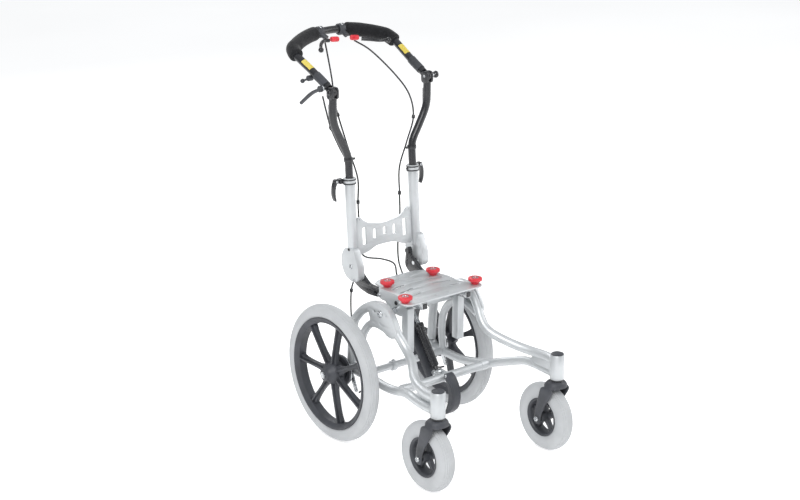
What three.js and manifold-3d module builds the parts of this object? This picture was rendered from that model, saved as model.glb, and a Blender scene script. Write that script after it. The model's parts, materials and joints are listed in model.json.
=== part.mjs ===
// Attendant-pushed mobility base chassis on two large rear wheels and two swivelling casters.
// Millimetres. +X is the rider's left, -Y is the front, +Z is up and Z = 0 is the floor.
// Sizes along Y are measured from the rear axle; the finished model is then moved along Y
// so that its origin is the bottom centre of its box.
import * as THREE from "three";
import { mergeVertices } from "three/addons/utils/BufferGeometryUtils.js";
import Module from "manifold-3d";

const wasm = await Module();
wasm.setup();

// ---------------------------------------------------------------- driving dimensions
const GAP = 0.3; // left between pieces that touch
const RUN = 0.5; // radial clearance of a faceted shaft in a faceted bore

const rear = { radius: 200, tyre: 22, x: 210, spokes: 7, phase: 12.86, rimHalf: 20, hub: 34, axle: 8 };
const caster = { radius: 98.5, tyre: 25, x: 215, y: -472, trail: 40, axle: 5, stem: 12.5 };
const head = { radius: 20, length: 73, seal: 4, crown: 21 };
const frame = { x: 148, arch: 13, lower: 12.5, inner: 11, web: 10, cross: 12.5, backCross: 10.5 };
const tilt = { y: -156, rise: 211, axle: 7, sleeve: 13 };
const seat = { rise: 255, thick: 4, half: 107, back: -26, front: -248, flange: 28 };
const rail = { x: 78.5, size: 20, wall: 2, front: -250, back: -97 };
const knob = { radius: 20, height: 19, stud: 4, rearX: 83, rearY: -89, frontX: 126, frontY: -223 };
const strut = { footY: -212, footRise: 14, topY: -80, topRise: 197, tube: 12, rod: 6, pin: 4.2 };
const back = { x: 113.5, wall: 2.6, slide: 0.9, pivotY: 10, pivotRise: 263, pivot: 6 };
const post = { footY: 27, footRise: 312, topY: 43, topRise: 548 };
const upright = { radius: 11, foot: 148, spread: 167, jointY: 44, joint: 252 };
const handle = { radius: 11, rise: 25.7, bow: 260, reach: 266, arm: 173, foam: 21 };

const axleZ = rear.radius;
const postBore = upright.radius + back.slide;
const postRadius = postBore + back.wall;
const headTop = 2 * caster.radius + head.crown + head.seal + head.length + 2;
const headFoot = headTop - head.length;
const seatTop = axleZ + seat.rise;
const SIDES = 8; // facets round a tube

// ---------------------------------------------------------------- solids
// Every maker below returns a manifold solid; place() turns it into a mesh.
function toSolid(geometry) {
  const bare = geometry.index ? geometry.toNonIndexed() : geometry.clone();
  const welded = mergeVertices(
    new THREE.BufferGeometry().setAttribute("position", bare.getAttribute("position")),
    1e-4,
  );
  const source = welded.index.array;
  const kept = [];
  for (let i = 0; i < source.length; i += 3) {
    const [a, b, c] = [source[i], source[i + 1], source[i + 2]];
    if (a !== b && b !== c && a !== c) kept.push(a, b, c);
  }
  const build = (triVerts) =>
    new wasm.Manifold(
      new wasm.Mesh({
        numProp: 3,
        vertProperties: new Float32Array(welded.attributes.position.array),
        triVerts: new Uint32Array(triVerts),
      }),
    );
  const made = build(kept);
  if (made.volume() > 0) return made;
  for (let i = 0; i < kept.length; i += 3) [kept[i], kept[i + 1]] = [kept[i + 1], kept[i]];
  return build(kept);
}

function toGeometry(solid) {
  const mesh = solid.getMesh();
  const geometry = new THREE.BufferGeometry();
  geometry.setAttribute("position", new THREE.BufferAttribute(mesh.vertProperties, 3));
  geometry.setIndex(new THREE.BufferAttribute(mesh.triVerts, 1));
  geometry.computeVertexNormals();
  return geometry;
}

const join = (...solids) => solids.reduce((sum, next) => sum.add(next));
const cut = (solid, ...tools) => tools.reduce((left, tool) => left.subtract(tool), solid);
const vec = (p) => new THREE.Vector3(...p);
const mirrored = (solid) => solid.mirror([1, 0, 0]);

// A round bar from one point to another; with a bore it is a pipe.
function bar(from, to, radius, sides = SIDES, bore = 0) {
  const [a, b] = [vec(from), vec(to)];
  const turn = new THREE.Quaternion().setFromUnitVectors(
    new THREE.Vector3(0, 1, 0),
    b.clone().sub(a).normalize(),
  );
  const shape = (r, extra) => {
    const g = new THREE.CylinderGeometry(r, r, a.distanceTo(b) + extra, sides);
    g.applyQuaternion(turn);
    const mid = a.clone().add(b).multiplyScalar(0.5);
    return toSolid(g.translate(mid.x, mid.y, mid.z));
  };
  return bore ? shape(radius, 0).subtract(shape(bore, 2)) : shape(radius, 0);
}

// A bar along X, given by its two ends, at (y, z).
const barX = (x0, x1, y, z, radius, sides, bore) => bar([x0, y, z], [x1, y, z], radius, sides, bore);

// A bent tube through points, with a step about every stepLength.
function bentTube(points, radius, { sides = SIDES, stepLength = 36, bore = 0 } = {}) {
  const curve = new THREE.CatmullRomCurve3(points.map(vec), false, "centripetal");
  return sweep(curve, radius, sides, Math.ceil(curve.getLength() / stepLength), bore);
}

function sweep(curve, radius, sides, steps, bore = 0) {
  const ring = (r) =>
    Array.from({ length: sides }, (_, i) => {
      const a = (2 * Math.PI * i) / sides;
      return new THREE.Vector2(r * Math.cos(a), r * Math.sin(a));
    });
  const section = new THREE.Shape(ring(radius));
  if (bore) section.holes.push(new THREE.Path(ring(bore).reverse()));
  return toSolid(
    new THREE.ExtrudeGeometry(section, { extrudePath: curve, steps, bevelEnabled: false }),
  );
}

// A profile of [radius, height] turned about X, Y or Z through a centre.
function turned(profile, axis, centre = [0, 0, 0], sides = 16) {
  const g = new THREE.LatheGeometry(
    profile.map(([r, h]) => new THREE.Vector2(r, h)),
    sides,
  );
  if (axis === "x") g.rotateZ(-Math.PI / 2);
  if (axis === "z") g.rotateX(Math.PI / 2);
  return toSolid(g.translate(...centre));
}

const ringProfile = (points) => [...points, points[0]];

// An outline with its corners rounded by r.
function rounded(points, r) {
  if (!r) return new THREE.Shape(points.map((p) => new THREE.Vector2(...p)));
  const shape = new THREE.Shape();
  points.forEach((p, i) => {
    const before = points[(i + points.length - 1) % points.length];
    const after = points[(i + 1) % points.length];
    const towards = (q) => {
      const d = Math.hypot(q[0] - p[0], q[1] - p[1]);
      const t = Math.min(r / d, 0.45);
      return [p[0] + (q[0] - p[0]) * t, p[1] + (q[1] - p[1]) * t];
    };
    const [enter, leave] = [towards(before), towards(after)];
    if (i === 0) shape.moveTo(...enter);
    else shape.lineTo(...enter);
    shape.quadraticCurveTo(...p, ...leave);
  });
  return shape;
}

// Plates: an outline in one plane, with a thickness along the third axis.
function plate(shape, depth, basis, origin) {
  const g = new THREE.ExtrudeGeometry(shape, { depth, bevelEnabled: false, curveSegments: 2 });
  const m = new THREE.Matrix4().makeBasis(...basis.map(vec)).setPosition(...origin);
  return toSolid(g.applyMatrix4(m));
}
const plateX = (points, x0, x1, r = 4) =>
  plate(rounded(points, r), x1 - x0, [[0, 1, 0], [0, 0, 1], [1, 0, 0]], [x0, 0, 0]);
const plateY = (points, y0, y1, r = 4) =>
  plate(rounded(points, r), y1 - y0, [[1, 0, 0], [0, 0, 1], [0, -1, 0]], [0, y1, 0]);
const plateZ = (points, z0, z1, r = 4) =>
  plate(rounded(points, r), z1 - z0, [[1, 0, 0], [0, 1, 0], [0, 0, 1]], [0, 0, z0]);

const box = (x0, x1, y0, y1, z0, z1) =>
  toSolid(
    new THREE.BoxGeometry(x1 - x0, y1 - y0, z1 - z0).translate(
      (x0 + x1) / 2,
      (y0 + y1) / 2,
      (z0 + z1) / 2,
    ),
  );

const lift = (rise, points) => points.map(([y, z]) => [y, z + rise]);
const bothSides = (half) => [...half, ...half.map(([x, y]) => [-x, y]).reverse()];

// ---------------------------------------------------------------- finishes
const finish = (color, roughness, metalness) =>
  new THREE.MeshStandardMaterial({ color, roughness, metalness });
const silver = finish(0xd4d5d6, 0.35, 0.6);
const steel = finish(0xb9bbbd, 0.3, 0.9);
const blackPaint = finish(0x2b2d30, 0.4, 0.3);
const blackPlastic = finish(0x303236, 0.55, 0);
const greyRubber = finish(0xa9abac, 0.8, 0);
const foam = finish(0x1d1e20, 0.95, 0);
const red = finish(0xd8323c, 0.4, 0);

const model = new THREE.Group();

function place(name, solid, material, mirror = false) {
  const mesh = new THREE.Mesh(toGeometry(solid), material);
  mesh.name = name;
  if (mirror) mesh.scale.x = -1;
  model.add(mesh);
}

// A piece made for the left side, and its mirror image on the right.
function placePair(name, solid, material) {
  place(`${name}_left`, solid, material);
  place(`${name}_right`, solid, material, true);
}

// ---------------------------------------------------------------- side frames
const F = frame.x;
const Z = axleZ;
const pivotZ = Z + tilt.rise;
const upperJoin = headTop - 21;
const lowerJoin = headFoot + 14;

const archPath = [
  [F, -6, Z + 22],
  [F, -10, Z + 90],
  [F, -18, Z + 142],
  [F, -38, Z + 171],
  [F, -63, Z + 194],
  [F, -94, Z + 213],
  [F, -127, Z + 225],
  [F, -160, Z + 226],
  [F, -184, Z + 213],
  [F, -202, Z + 190],
  [F, -215, Z + 168],
  [F - 4, -229, Z + 149],
  [F - 5, -248, Z + 130],
  [F, -271, Z + 116],
  [F + 16, -303, Z + 102],
  [caster.x - 29, -336, Z + 88],
  [caster.x - 11, -376, upperJoin + 4],
  [caster.x, caster.y + 52, upperJoin + 1.5],
  [caster.x, caster.y + 15, upperJoin],
];
const lowerPath = [
  [F, -12, Z - 1],
  [F, -60, Z - 3],
  [F, -124, Z - 5],
  [F + 5, -159, Z - 4],
  [F + 12, -197, Z + 1],
  [F + 16, -233, Z + 7],
  [F + 32, -284, Z + 24],
  [caster.x - 10, -343, lowerJoin + 2.5],
  [caster.x - 2, -377, lowerJoin + 3],
  [caster.x, caster.y + 62, lowerJoin + 1],
  [caster.x, caster.y + 15, lowerJoin],
];
const innerPath = [
  [F, -60, Z],
  [F, -52, Z + 62],
  [F, -60, Z + 115],
  [F, -90, Z + 156],
  [F, -132, Z + 175],
  [F, -172, Z + 172],
  [F, -206, Z + 158],
];
const webOutline = lift(Z, [
  [-92, 226],
  [-124, 238],
  [-162, 239],
  [-190, 231],
  [-211, 205],
  [-228, 175],
  [-212, 152],
  [-190, 152],
  [-170, 162],
  [-135, 165],
  [-106, 158],
  [-98, 170],
  [-112, 180],
]);

function sideFrame() {
  const holes = [
    [-130, Z + 179],
    [-156, Z + 180],
  ].map(([y, z]) => barX(F - 20, F + 20, y, z, 3.5, 6));
  const gusset = [
    [-395, upperJoin + 4],
    [caster.y + 18, upperJoin],
    [caster.y + 18, lowerJoin],
    [-360, lowerJoin + 3],
  ];
  const raw = join(
    bentTube(archPath, frame.arch, { stepLength: 42 }),
    bentTube(lowerPath, frame.lower),
    bentTube(innerPath, frame.inner, { sides: 8 }),
    plateX(webOutline, F + frame.arch - frame.web, F + frame.arch, 8),
    plateX(gusset, caster.x - 10, caster.x - 4, 3),
    barX(F - 11, F + frame.arch, 0, Z, 22, 14),
    turned([[0, headFoot], [head.radius, headFoot], [head.radius, headTop], [0, headTop]], "z", [caster.x, caster.y, 0]),
  );
  return cut(
    raw,
    bar([caster.x, caster.y, headFoot - 1], [caster.x, caster.y, headTop + 1], caster.stem + RUN, 16),
    barX(F - 20, F + 20, 0, Z, rear.axle + GAP, 12),
    barX(F - 20, F + 20, tilt.y, pivotZ, tilt.axle + GAP, 12),
    ...holes,
  );
}
placePair("side_frame", sideFrame(), silver);

// ---------------------------------------------------------------- cross members
const crossY = -242;
const crossZ = Z + 10;

function frontCross() {
  const sideCut = bentTube(lowerPath, frame.lower + GAP);
  const tube = cut(
    barX(-F - 19, F + 19, crossY, crossZ, frame.cross, 16),
    sideCut,
    mirrored(sideCut),
  );
  const lug = plateX(
    [
      [crossY, crossZ - 9],
      [strut.footY + 4, Z + strut.footRise - 10],
      [strut.footY + 11, Z + strut.footRise],
      [strut.footY + 4, Z + strut.footRise + 10],
      [crossY, crossZ + 11],
    ],
    9.5,
    14,
    3,
  );
  const pin = barX(-12, 12, strut.footY, Z + strut.footRise, strut.pin, 12);
  return join(tube.decompose().sort((a, b) => b.volume() - a.volume())[0], lug, mirrored(lug), pin);
}
place("front_cross_tube", frontCross(), silver);

const backCrossY = -60;
function rearCross() {
  const tools = [bentTube(lowerPath, frame.lower + GAP), bentTube(innerPath, frame.inner + GAP, { sides: 8 })];
  const tube = cut(
    barX(-F, F, backCrossY, Z - 2, frame.backCross, 16),
    ...tools,
    ...tools.map(mirrored),
  );
  return tube.decompose().sort((a, b) => b.volume() - a.volume())[0];
}
place("rear_cross_tube", rearCross(), silver);

function kerbSkid() {
  const outline = [
    [crossY - 13.5, crossZ + 20],
    [crossY - 34, crossZ + 12],
    [crossY - 51, crossZ - 10],
    [crossY - 59, crossZ - 44],
    [crossY - 50, crossZ - 80],
    [crossY - 21, crossZ - 106],
    [crossY - 18, crossZ - 98],
    [crossY - 31, crossZ - 66],
    [crossY - 33, crossZ - 35],
    [crossY - 24, crossZ - 8],
    [crossY - 13.5, crossZ + 6],
  ];
  return plateX(outline, -12.5, 12.5, 8);
}
place("kerb_skid", kerbSkid(), blackPlastic);

// ---------------------------------------------------------------- rear wheels
const brakeX = F + frame.arch + GAP;
const hubInner = rear.x - 24;
const hubOuter = rear.x + 34;

// Tyre section: most of a circle, flat where it sits in the rim.
function tyreSection(outer, r, seatHalf, steps) {
  const mid = outer - r;
  const a0 = Math.acos(seatHalf / r);
  return ringProfile(
    Array.from({ length: steps + 1 }, (_, i) => {
      const a = -a0 + ((Math.PI + 2 * a0) * i) / steps;
      return [mid + r * Math.sin(a), r * Math.cos(a)];
    }),
  );
}

const bead = rear.radius - rear.tyre - Math.sqrt(rear.tyre ** 2 - 14 ** 2);
function rearRim() {
  const rim = turned(
    ringProfile([
      [bead + 3, -rear.rimHalf],
      [bead + 3, -17.8],
      [bead - GAP, -14.5],
      [bead - GAP, 14.5],
      [bead + 3, 17.8],
      [bead + 3, rear.rimHalf],
      [bead - 14, rear.rimHalf - 5],
      [bead - 14, 5 - rear.rimHalf],
    ]),
    "x",
    [rear.x, 0, Z],
    28,
  );
  const hub = turned(
    [[0, -24], [30, -24], [rear.hub, -16], [rear.hub, 12], [24, 20], [17, 34], [0, 34]],
    "x",
    [rear.x, 0, Z],
    14,
  );
  const spoke = plateX([[-15, 20], [15, 20], [9, 80], [11, bead - 11], [-11, bead - 11], [-9, 80]], -9, 9, 0);
  const spokes = Array.from({ length: rear.spokes }, (_, i) =>
    spoke.rotate([(360 * i) / rear.spokes + rear.phase, 0, 0]).translate([rear.x, 0, Z]),
  );
  const bore = barX(hubInner - 2, hubOuter + 2, 0, Z, rear.axle + RUN, 16);
  return cut(join(rim, hub, ...spokes), bore);
}
placePair("rear_rim", rearRim(), blackPlastic);
placePair(
  "rear_tyre",
  turned(tyreSection(rear.radius, rear.tyre, 14, 8), "x", [rear.x, 0, Z], 28),
  greyRubber,
);

placePair(
  "rear_axle",
  join(
    barX(F - 18, hubOuter + 5, 0, Z, rear.axle, 12),
    barX(hubOuter + 1, hubOuter + 6, 0, Z, 11, 12),
    barX(F - 18, F - 11 - GAP, 0, Z, 12, 6),
  ),
  steel,
);

const camY = -30;
const camZ = Z - 12;
placePair(
  "brake_plate",
  cut(
    join(barX(brakeX, brakeX + 12, 0, Z, 20, 12), barX(brakeX + 10, hubInner - 2, 0, Z, 44, 20)),
    barX(brakeX - 1, hubInner, 0, Z, rear.axle + GAP, 12),
  ),
  blackPlastic,
);

const armX = brakeX + 2;
placePair(
  "brake_arm",
  join(
    barX(armX, armX + 8 - GAP, camY, camZ, 8, 12),
    plateX([[camY - 6, camZ + 5], [camY + 7, camZ + 2], [camY - 16, camZ - 45], [camY - 27, camZ - 42]], armX, armX + 5, 4),
  ),
  steel,
);

// ---------------------------------------------------------------- casters
const casterY = caster.y + caster.trail;
const casterZ = caster.radius;
const forkInner = caster.tyre + 3;
const forkOuter = forkInner + 8;
const crownFoot = 2 * caster.radius + 4;
const crownTop = crownFoot + head.crown - 2;

function casterFork() {
  const side = [
    [caster.y - 27, crownFoot - 1],
    [caster.y - 22, crownTop - 4],
    [caster.y - 8, crownTop],
    [caster.y + 20, crownTop - 2],
    [caster.y + 38, crownTop - 18],
    [casterY + 13, casterZ + 34],
    [casterY + 14, casterZ],
    [casterY, casterZ - 14],
    [casterY - 13, casterZ - 4],
    [caster.y + 4, casterZ + 52],
    [caster.y - 22, crownFoot - 20],
  ];
  const whole = plateX(side, caster.x - forkOuter, caster.x + forkOuter, 10);
  const mouth = box(caster.x - forkInner, caster.x + forkInner, caster.y - 60, casterY + 60, 0, crownFoot);
  const boss = turned(
    [[0, crownTop - 6], [18, crownTop - 6], [17, crownTop + 2.5], [0, crownTop + 2.5]],
    "z",
    [caster.x, caster.y, 0],
    16,
  );
  const stem = bar([caster.x, caster.y, crownTop - 6], [caster.x, caster.y, headTop - 4], caster.stem, 16);
  const bore = barX(caster.x - forkOuter - 1, caster.x + forkOuter + 1, casterY, casterZ, caster.axle + GAP, 12);
  return join(cut(whole, mouth, bore), boss, stem);
}
placePair("caster_fork", casterFork(), blackPlastic);

const casterBead = caster.radius - caster.tyre - Math.sqrt(caster.tyre ** 2 - 17 ** 2);
placePair(
  "caster_tyre",
  turned(tyreSection(caster.radius, caster.tyre, 17, 8), "x", [caster.x, casterY, casterZ], 20),
  greyRubber,
);

function casterRim() {
  const r = casterBead - GAP;
  const rim = turned(
    ringProfile([[r, -18], [r, 18], [r - 6, 18], [r - 10, 8], [r - 10, -8], [r - 6, -18]]),
    "x",
    [caster.x, casterY, casterZ],
    20,
  );
  const hub = barX(caster.x - 24, caster.x + 24, casterY, casterZ, 14, 12);
  const spoke = plateX([[-7, 8], [7, 8], [6, r - 7], [-6, r - 7]], -6, 6, 0);
  const spokes = Array.from({ length: 5 }, (_, i) =>
    spoke.rotate([72 * i, 0, 0]).translate([caster.x, casterY, casterZ]),
  );
  const bore = barX(caster.x - 30, caster.x + 30, casterY, casterZ, caster.axle + RUN, 12);
  return cut(join(rim, hub, ...spokes), bore);
}
placePair("caster_rim", casterRim(), blackPlastic);

placePair(
  "caster_axle",
  join(
    barX(caster.x - forkOuter - 3, caster.x + forkOuter + 3, casterY, casterZ, caster.axle, 12),
    barX(caster.x - forkOuter - 5, caster.x - forkOuter - GAP, casterY, casterZ, 8, 12),
    barX(caster.x + forkOuter + GAP, caster.x + forkOuter + 5, casterY, casterZ, 8, 12),
  ),
  steel,
);

// ---------------------------------------------------------------- seat and tilt
const seatFoot = seatTop - seat.thick;
const studs = [
  [knob.rearX, knob.rearY, "rear"],
  [knob.frontX, knob.frontY, "front"],
];

function seatPlate() {
  const H = seat.half;
  const outline = bothSides([
    [60, seat.back],
    [H - 17, seat.back - 12],
    [H - 11, -70],
    [H, -80],
    [H, -172],
    [H + 11, -198],
    [knob.frontX + 14, knob.frontY + 14],
    [knob.frontX + 14, knob.frontY - 14],
    [knob.frontX, seat.front - 2],
    [60, seat.front],
  ]);
  const slot = plateZ([[-28, -4], [28, -4], [28, 4], [-28, 4]], seatFoot - 2, seatTop + 2, 3.9);
  const slots = [-112, -150, -188].map((y) => slot.rotate([0, 0, -13]).translate([64, y, 0]));
  const studHoles = studs.map(([x, y]) => bar([x, y, seatFoot - 2], [x, y, seatTop + 2], knob.stud + RUN, 8));
  const sheet = plateZ(outline, seatFoot, seatTop, 10);
  const flange = plateX(
    [[-82, seatFoot + 1], [-82, seatTop - seat.flange], [-92, seatTop - seat.flange - 4], [-160, seatTop - seat.flange - 4], [-170, seatTop - seat.flange + 4], [-170, seatFoot + 1]],
    H - 4,
    H,
    3,
  );
  const half = [...slots, ...studHoles];
  return cut(join(sheet, flange, mirrored(flange)), ...half, ...half.map(mirrored));
}
place("seat_plate", seatPlate(), silver);

function lockKnob(x, y) {
  const z = seatTop + GAP;
  const h = knob.height;
  const profile = [
    [0, -seat.thick],
    [knob.stud, -seat.thick],
    [knob.stud, 0],
    [11, 0],
    [knob.radius - 3, h * 0.45],
    [knob.radius, h * 0.6],
    [knob.radius, h * 0.8],
    [knob.radius - 3, h],
    [0, h],
  ];
  return turned(profile, "z", [x, y, z], 12);
}
studs.forEach(([x, y, where]) => placePair(`lock_knob_${where}`, lockKnob(x, y), red));

function seatRail() {
  const z = seatFoot - GAP;
  const half = rail.size / 2;
  const inner = half - rail.wall;
  return cut(
    box(rail.x - half, rail.x + half, rail.front, rail.back, z - rail.size, z),
    box(rail.x - inner, rail.x + inner, rail.front - 1, rail.back + 1, z - rail.size + rail.wall, z - rail.wall),
  );
}
placePair("seat_rail", seatRail(), steel);

place(
  "tilt_axle",
  join(
    barX(-F - frame.arch - 4, F + frame.arch + 4, tilt.y, pivotZ, tilt.axle, 12),
    barX(F + frame.arch + GAP, F + frame.arch + 6, tilt.y, pivotZ, 11, 6),
    barX(-F - frame.arch - 6, -F - frame.arch - GAP, tilt.y, pivotZ, 11, 6),
  ),
  steel,
);

const strutTop = [strut.topY, Z + strut.topRise];
const strutFoot = [strut.footY, Z + strut.footRise];
const railFoot = seatFoot - GAP - rail.size - GAP;
function tiltBracket() {
  const half = seat.half - 4 - GAP;
  const cheek = plateX(
    [[-190, railFoot - 8], [-190, seatFoot - GAP - 2], [-99, seatFoot - GAP - 2], [-99, railFoot - 4], [-130, pivotZ - 16], [-180, pivotZ - 16]],
    half - 5,
    half,
    6,
  );
  const leg = box(half - 24, half, -205, -179, Z + 92, railFoot - 6);
  const lug = plateX(
    [[tilt.y - 8, pivotZ - 12], [tilt.y - 8, pivotZ + 13], [strut.topY + 4, strutTop[1] + 11], [strut.topY + 11, strutTop[1]], [strut.topY + 4, strutTop[1] - 11]],
    9.5,
    14,
    4,
  );
  const deck = box(-half + 1, half - 1, -195, -140, railFoot - 7, railFoot);
  const side = [cheek, leg, lug];
  const body = join(
    barX(-half + 2, half - 2, tilt.y, pivotZ, tilt.sleeve, 14),
    deck,
    ...side,
    ...side.map(mirrored),
  );
  const pin = barX(-12, 12, ...strutTop, strut.pin, 12);
  return join(cut(body, barX(-half - 1, half + 1, tilt.y, pivotZ, tilt.axle + RUN, 16)), pin);
}
place("tilt_bracket", tiltBracket(), silver);

// The gas spring runs from a pin on the front cross tube to a pin on the seat carrier.
const strutLength = Math.hypot(strutTop[0] - strutFoot[0], strutTop[1] - strutFoot[1]);
const along = (s, off = 0) => {
  const dy = (strutTop[0] - strutFoot[0]) / strutLength;
  const dz = (strutTop[1] - strutFoot[1]) / strutLength;
  return [strutFoot[0] + dy * s + dz * off, strutFoot[1] + dz * s - dy * off];
};
const onStrut = (s0, s1, radius, sides, bore) => bar([0, ...along(s0)], [0, ...along(s1)], radius, sides, bore);
const collarAt = 146;

place(
  "gas_spring_cylinder",
  cut(
    join(
      barX(-8.5, 8.5, ...strutFoot, 10, 16),
      onStrut(6, 20, 7, 12),
      onStrut(18, collarAt, strut.tube, 14),
      onStrut(collarAt - 8, collarAt + 4, strut.tube + 2.5, 14),
    ),
    onStrut(60, collarAt + 10, strut.rod + RUN, 16),
    barX(-12, 12, ...strutFoot, strut.pin + GAP, 12),
  ),
  blackPaint,
);
const openPivotSlack = 3.4;
place(
  "gas_spring_rod",
  cut(
    join(
      onStrut(106, strutLength - 4, strut.rod, 16),
      onStrut(strutLength - 26, strutLength - 8, strut.rod + 3, 16),
      barX(-8.5, 8.5, ...strutTop, 11.5, 16),
    ),
    barX(-12, 12, ...strutTop, strut.pin + openPivotSlack, 16),
  ),
  steel,
);

// Ribbed guard behind the gas spring, carried by its upper rod.
function strutCover() {
  const at = (s, off) => along(s, off);
  const slab = plateX([at(-4, 16), at(178, 16), at(178, 32), at(-4, 32)], -21, 21, 4);
  const ribs = Array.from({ length: 7 }, (_, i) => {
    const s = 14 + 25 * i;
    return plateX([at(s, 30), at(s + 10, 30), at(s + 10, 35), at(s, 35)], -19, 19, 1);
  });
  return join(slab, ...ribs);
}
place("strut_cover", strutCover(), blackPlastic);

// ---------------------------------------------------------------- backrest
const pivot = [back.pivotY, Z + back.pivotRise];
const armOuter = seat.half - 4 - GAP;
const armInner = armOuter - 13;

function backArm() {
  const outline = lift(Z, [
    [-95, 228],
    [-60, 222],
    [-24, 220],
    [10, 226],
    [36, 236],
    [48, 250],
    [46, 270],
    [43, 290],
    [41, 303],
    [31, 307],
    [23, 299],
    [24, 281],
    [14, 275],
    [-2, 262],
    [-24, 248],
    [-95, 248],
  ]);
  const slot = plateX(lift(Z, [[-78, 231], [-52, 231], [-52, 238], [-78, 238]]), armInner - 1, armOuter + 1, 3);
  return cut(
    plateX(outline, armInner, armOuter, 7),
    slot,
    box(armOuter - 4.5, armOuter + 1, 0, 60, Z + 274, Z + 320),
    barX(armInner - 1, armOuter + 1, ...pivot, back.pivot + RUN, 16),
  );
}
placePair("back_arm", backArm(), blackPaint);

const postFoot = [back.x, post.footY, Z + post.footRise];
const postTop = [back.x, post.topY, Z + post.topRise];
const onPost = (rise) => {
  const t = (rise - post.footRise) / (post.topRise - post.footRise);
  return [back.x, post.footY + (post.topY - post.footY) * t, Z + rise];
};

const baseInner = armOuter + 3;
const baseOuter = back.x + postRadius;
function backPost() {
  const base = lift(Z, [
    [2, 332],
    [-12, 300],
    [-14, 264],
    [2, 252],
    [16, 251],
    [40, 257],
    [56, 272],
    [64, 292],
    [66, 314],
    [58, 332],
    [46, 346],
    [10, 348],
  ]);
  return cut(
    join(
      bar(postFoot, postTop, postRadius, 20),
      plateX(base, baseInner, baseOuter, 8),
      barX(armInner, baseInner + 4, ...pivot, back.pivot, 16),
    ),
    bar(onPost(346), onPost(post.topRise + 3), postBore, 20),
  );
}
placePair("back_post", backPost(), silver);

const lean = Math.atan2(post.topY - post.footY, post.topRise - post.footRise);
function backCrossbar() {
  const edge = back.x - postRadius - GAP;
  const low = 320;
  const outline = bothSides([
    [edge, low],
    [edge, low + 80],
    [edge - 4, low + 108],
    [edge - 14, low + 111],
    [edge - 24, low + 98],
    [edge - 46, low + 86],
    [12, low + 78],
  ]);
  const foot = [
    [-edge + 36, low + 4],
    [-30, low + 18],
    [30, low + 18],
    [edge - 36, low + 4],
  ];
  const slots = [
    [0, 12, 44, 67],
    [35.3, 12, 38, 68],
    [72.6, 14, 26, 78],
    [-35.3, 12, 38, 68],
    [-72.6, 14, 26, 78],
  ].map(([x, w, lo, hi]) =>
    plateY([[x - w / 2, low + lo], [x + w / 2, low + lo], [x + w / 2, low + hi], [x - w / 2, low + hi]], -10, 10, 5),
  );
  const flat = cut(plateY([...outline, ...foot], -3, 3, 8), ...slots);
  const [, y, z] = onPost(low);
  return flat
    .translate([0, 0, -low])
    .rotate([(-lean * 180) / Math.PI, 0, 0])
    .translate([0, y, z]);
}
place("back_crossbar", backCrossbar(), silver);

// ---------------------------------------------------------------- height clamps
const clampRise = post.topRise - 8;
const [, clampY, clampZ] = onPost(clampRise);
const collarOuter = postRadius + 4.5;
const leverX = back.x + collarOuter + 18;
placePair(
  "clamp_collar",
  cut(
    join(
      bar(onPost(clampRise - 11), onPost(post.topRise), collarOuter, 20),
      box(back.x + collarOuter - 4, leverX - 7 - GAP, clampY + 6, clampY + 24, clampZ - 8, clampZ + 6),
    ),
    bar(onPost(clampRise - 20), onPost(post.topRise + 10), postRadius + GAP, 20),
  ),
  silver,
);

function clampLever() {
  const hub = bar([leverX, clampY + 8, clampZ], [leverX, clampY + 22, clampZ], 7, 14);
  const blade = plateY(
    [
      [leverX - 4, clampZ],
      [leverX + 6, clampZ + 3],
      [leverX + 12, clampZ - 16],
      [leverX + 12, clampZ - 40],
      [leverX + 5, clampZ - 58],
      [leverX + 1, clampZ - 56],
      [leverX + 5, clampZ - 38],
      [leverX + 4, clampZ - 16],
    ],
    clampY + 9,
    clampY + 21,
    4,
  );
  return join(hub, blade);
}
placePair("clamp_lever", clampLever(), blackPaint);

// ---------------------------------------------------------------- uprights
const jointY = upright.jointY;
const jointZ = postTop[2] + upright.joint;
const tongueHalf = 4.7;
const cheekInner = tongueHalf + GAP;
const cheekOuter = 11;
const eye = 14;

function uprightTube() {
  const s = upright.spread;
  const path = [
    onPost(post.topRise - upright.foot),
    onPost(post.topRise - 60),
    onPost(post.topRise + 4),
    [back.x + 0.5, jointY + 2.5, jointZ - 204],
    [back.x + 6, jointY + 4, jointZ - 178],
    [back.x + 27, jointY + 3, jointZ - 138],
    [s - 7, jointY + 1.5, jointZ - 98],
    [s - 0.5, jointY + 0.5, jointZ - 70],
    [s, jointY, jointZ - 40],
    [s, jointY, jointZ - eye - 1],
  ];
  const tube = bentTube(path, upright.radius, { sides: 10, stepLength: 26 });
  const cheek = plateX(
    [[jointY - eye, jointZ - 20], [jointY + eye, jointZ - 20], [jointY + eye, jointZ + eye], [jointY - eye, jointZ + eye]],
    s + cheekInner,
    s + cheekOuter,
    12,
  );
  const other = cheek.translate([-cheekInner - cheekOuter, 0, 0]);
  const pin = barX(s - cheekOuter, s + cheekOuter, jointY, jointZ, 4.5, 16);
  const slot = box(s - cheekInner, s + cheekInner, jointY - 30, jointY + 30, jointZ - eye - GAP - 0.5, jointZ + 30);
  return join(cut(tube, slot), cheek, other, pin);
}
placePair("upright", uprightTube(), blackPaint);

// ---------------------------------------------------------------- push handle
const slope = (handle.rise * Math.PI) / 180;
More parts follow.
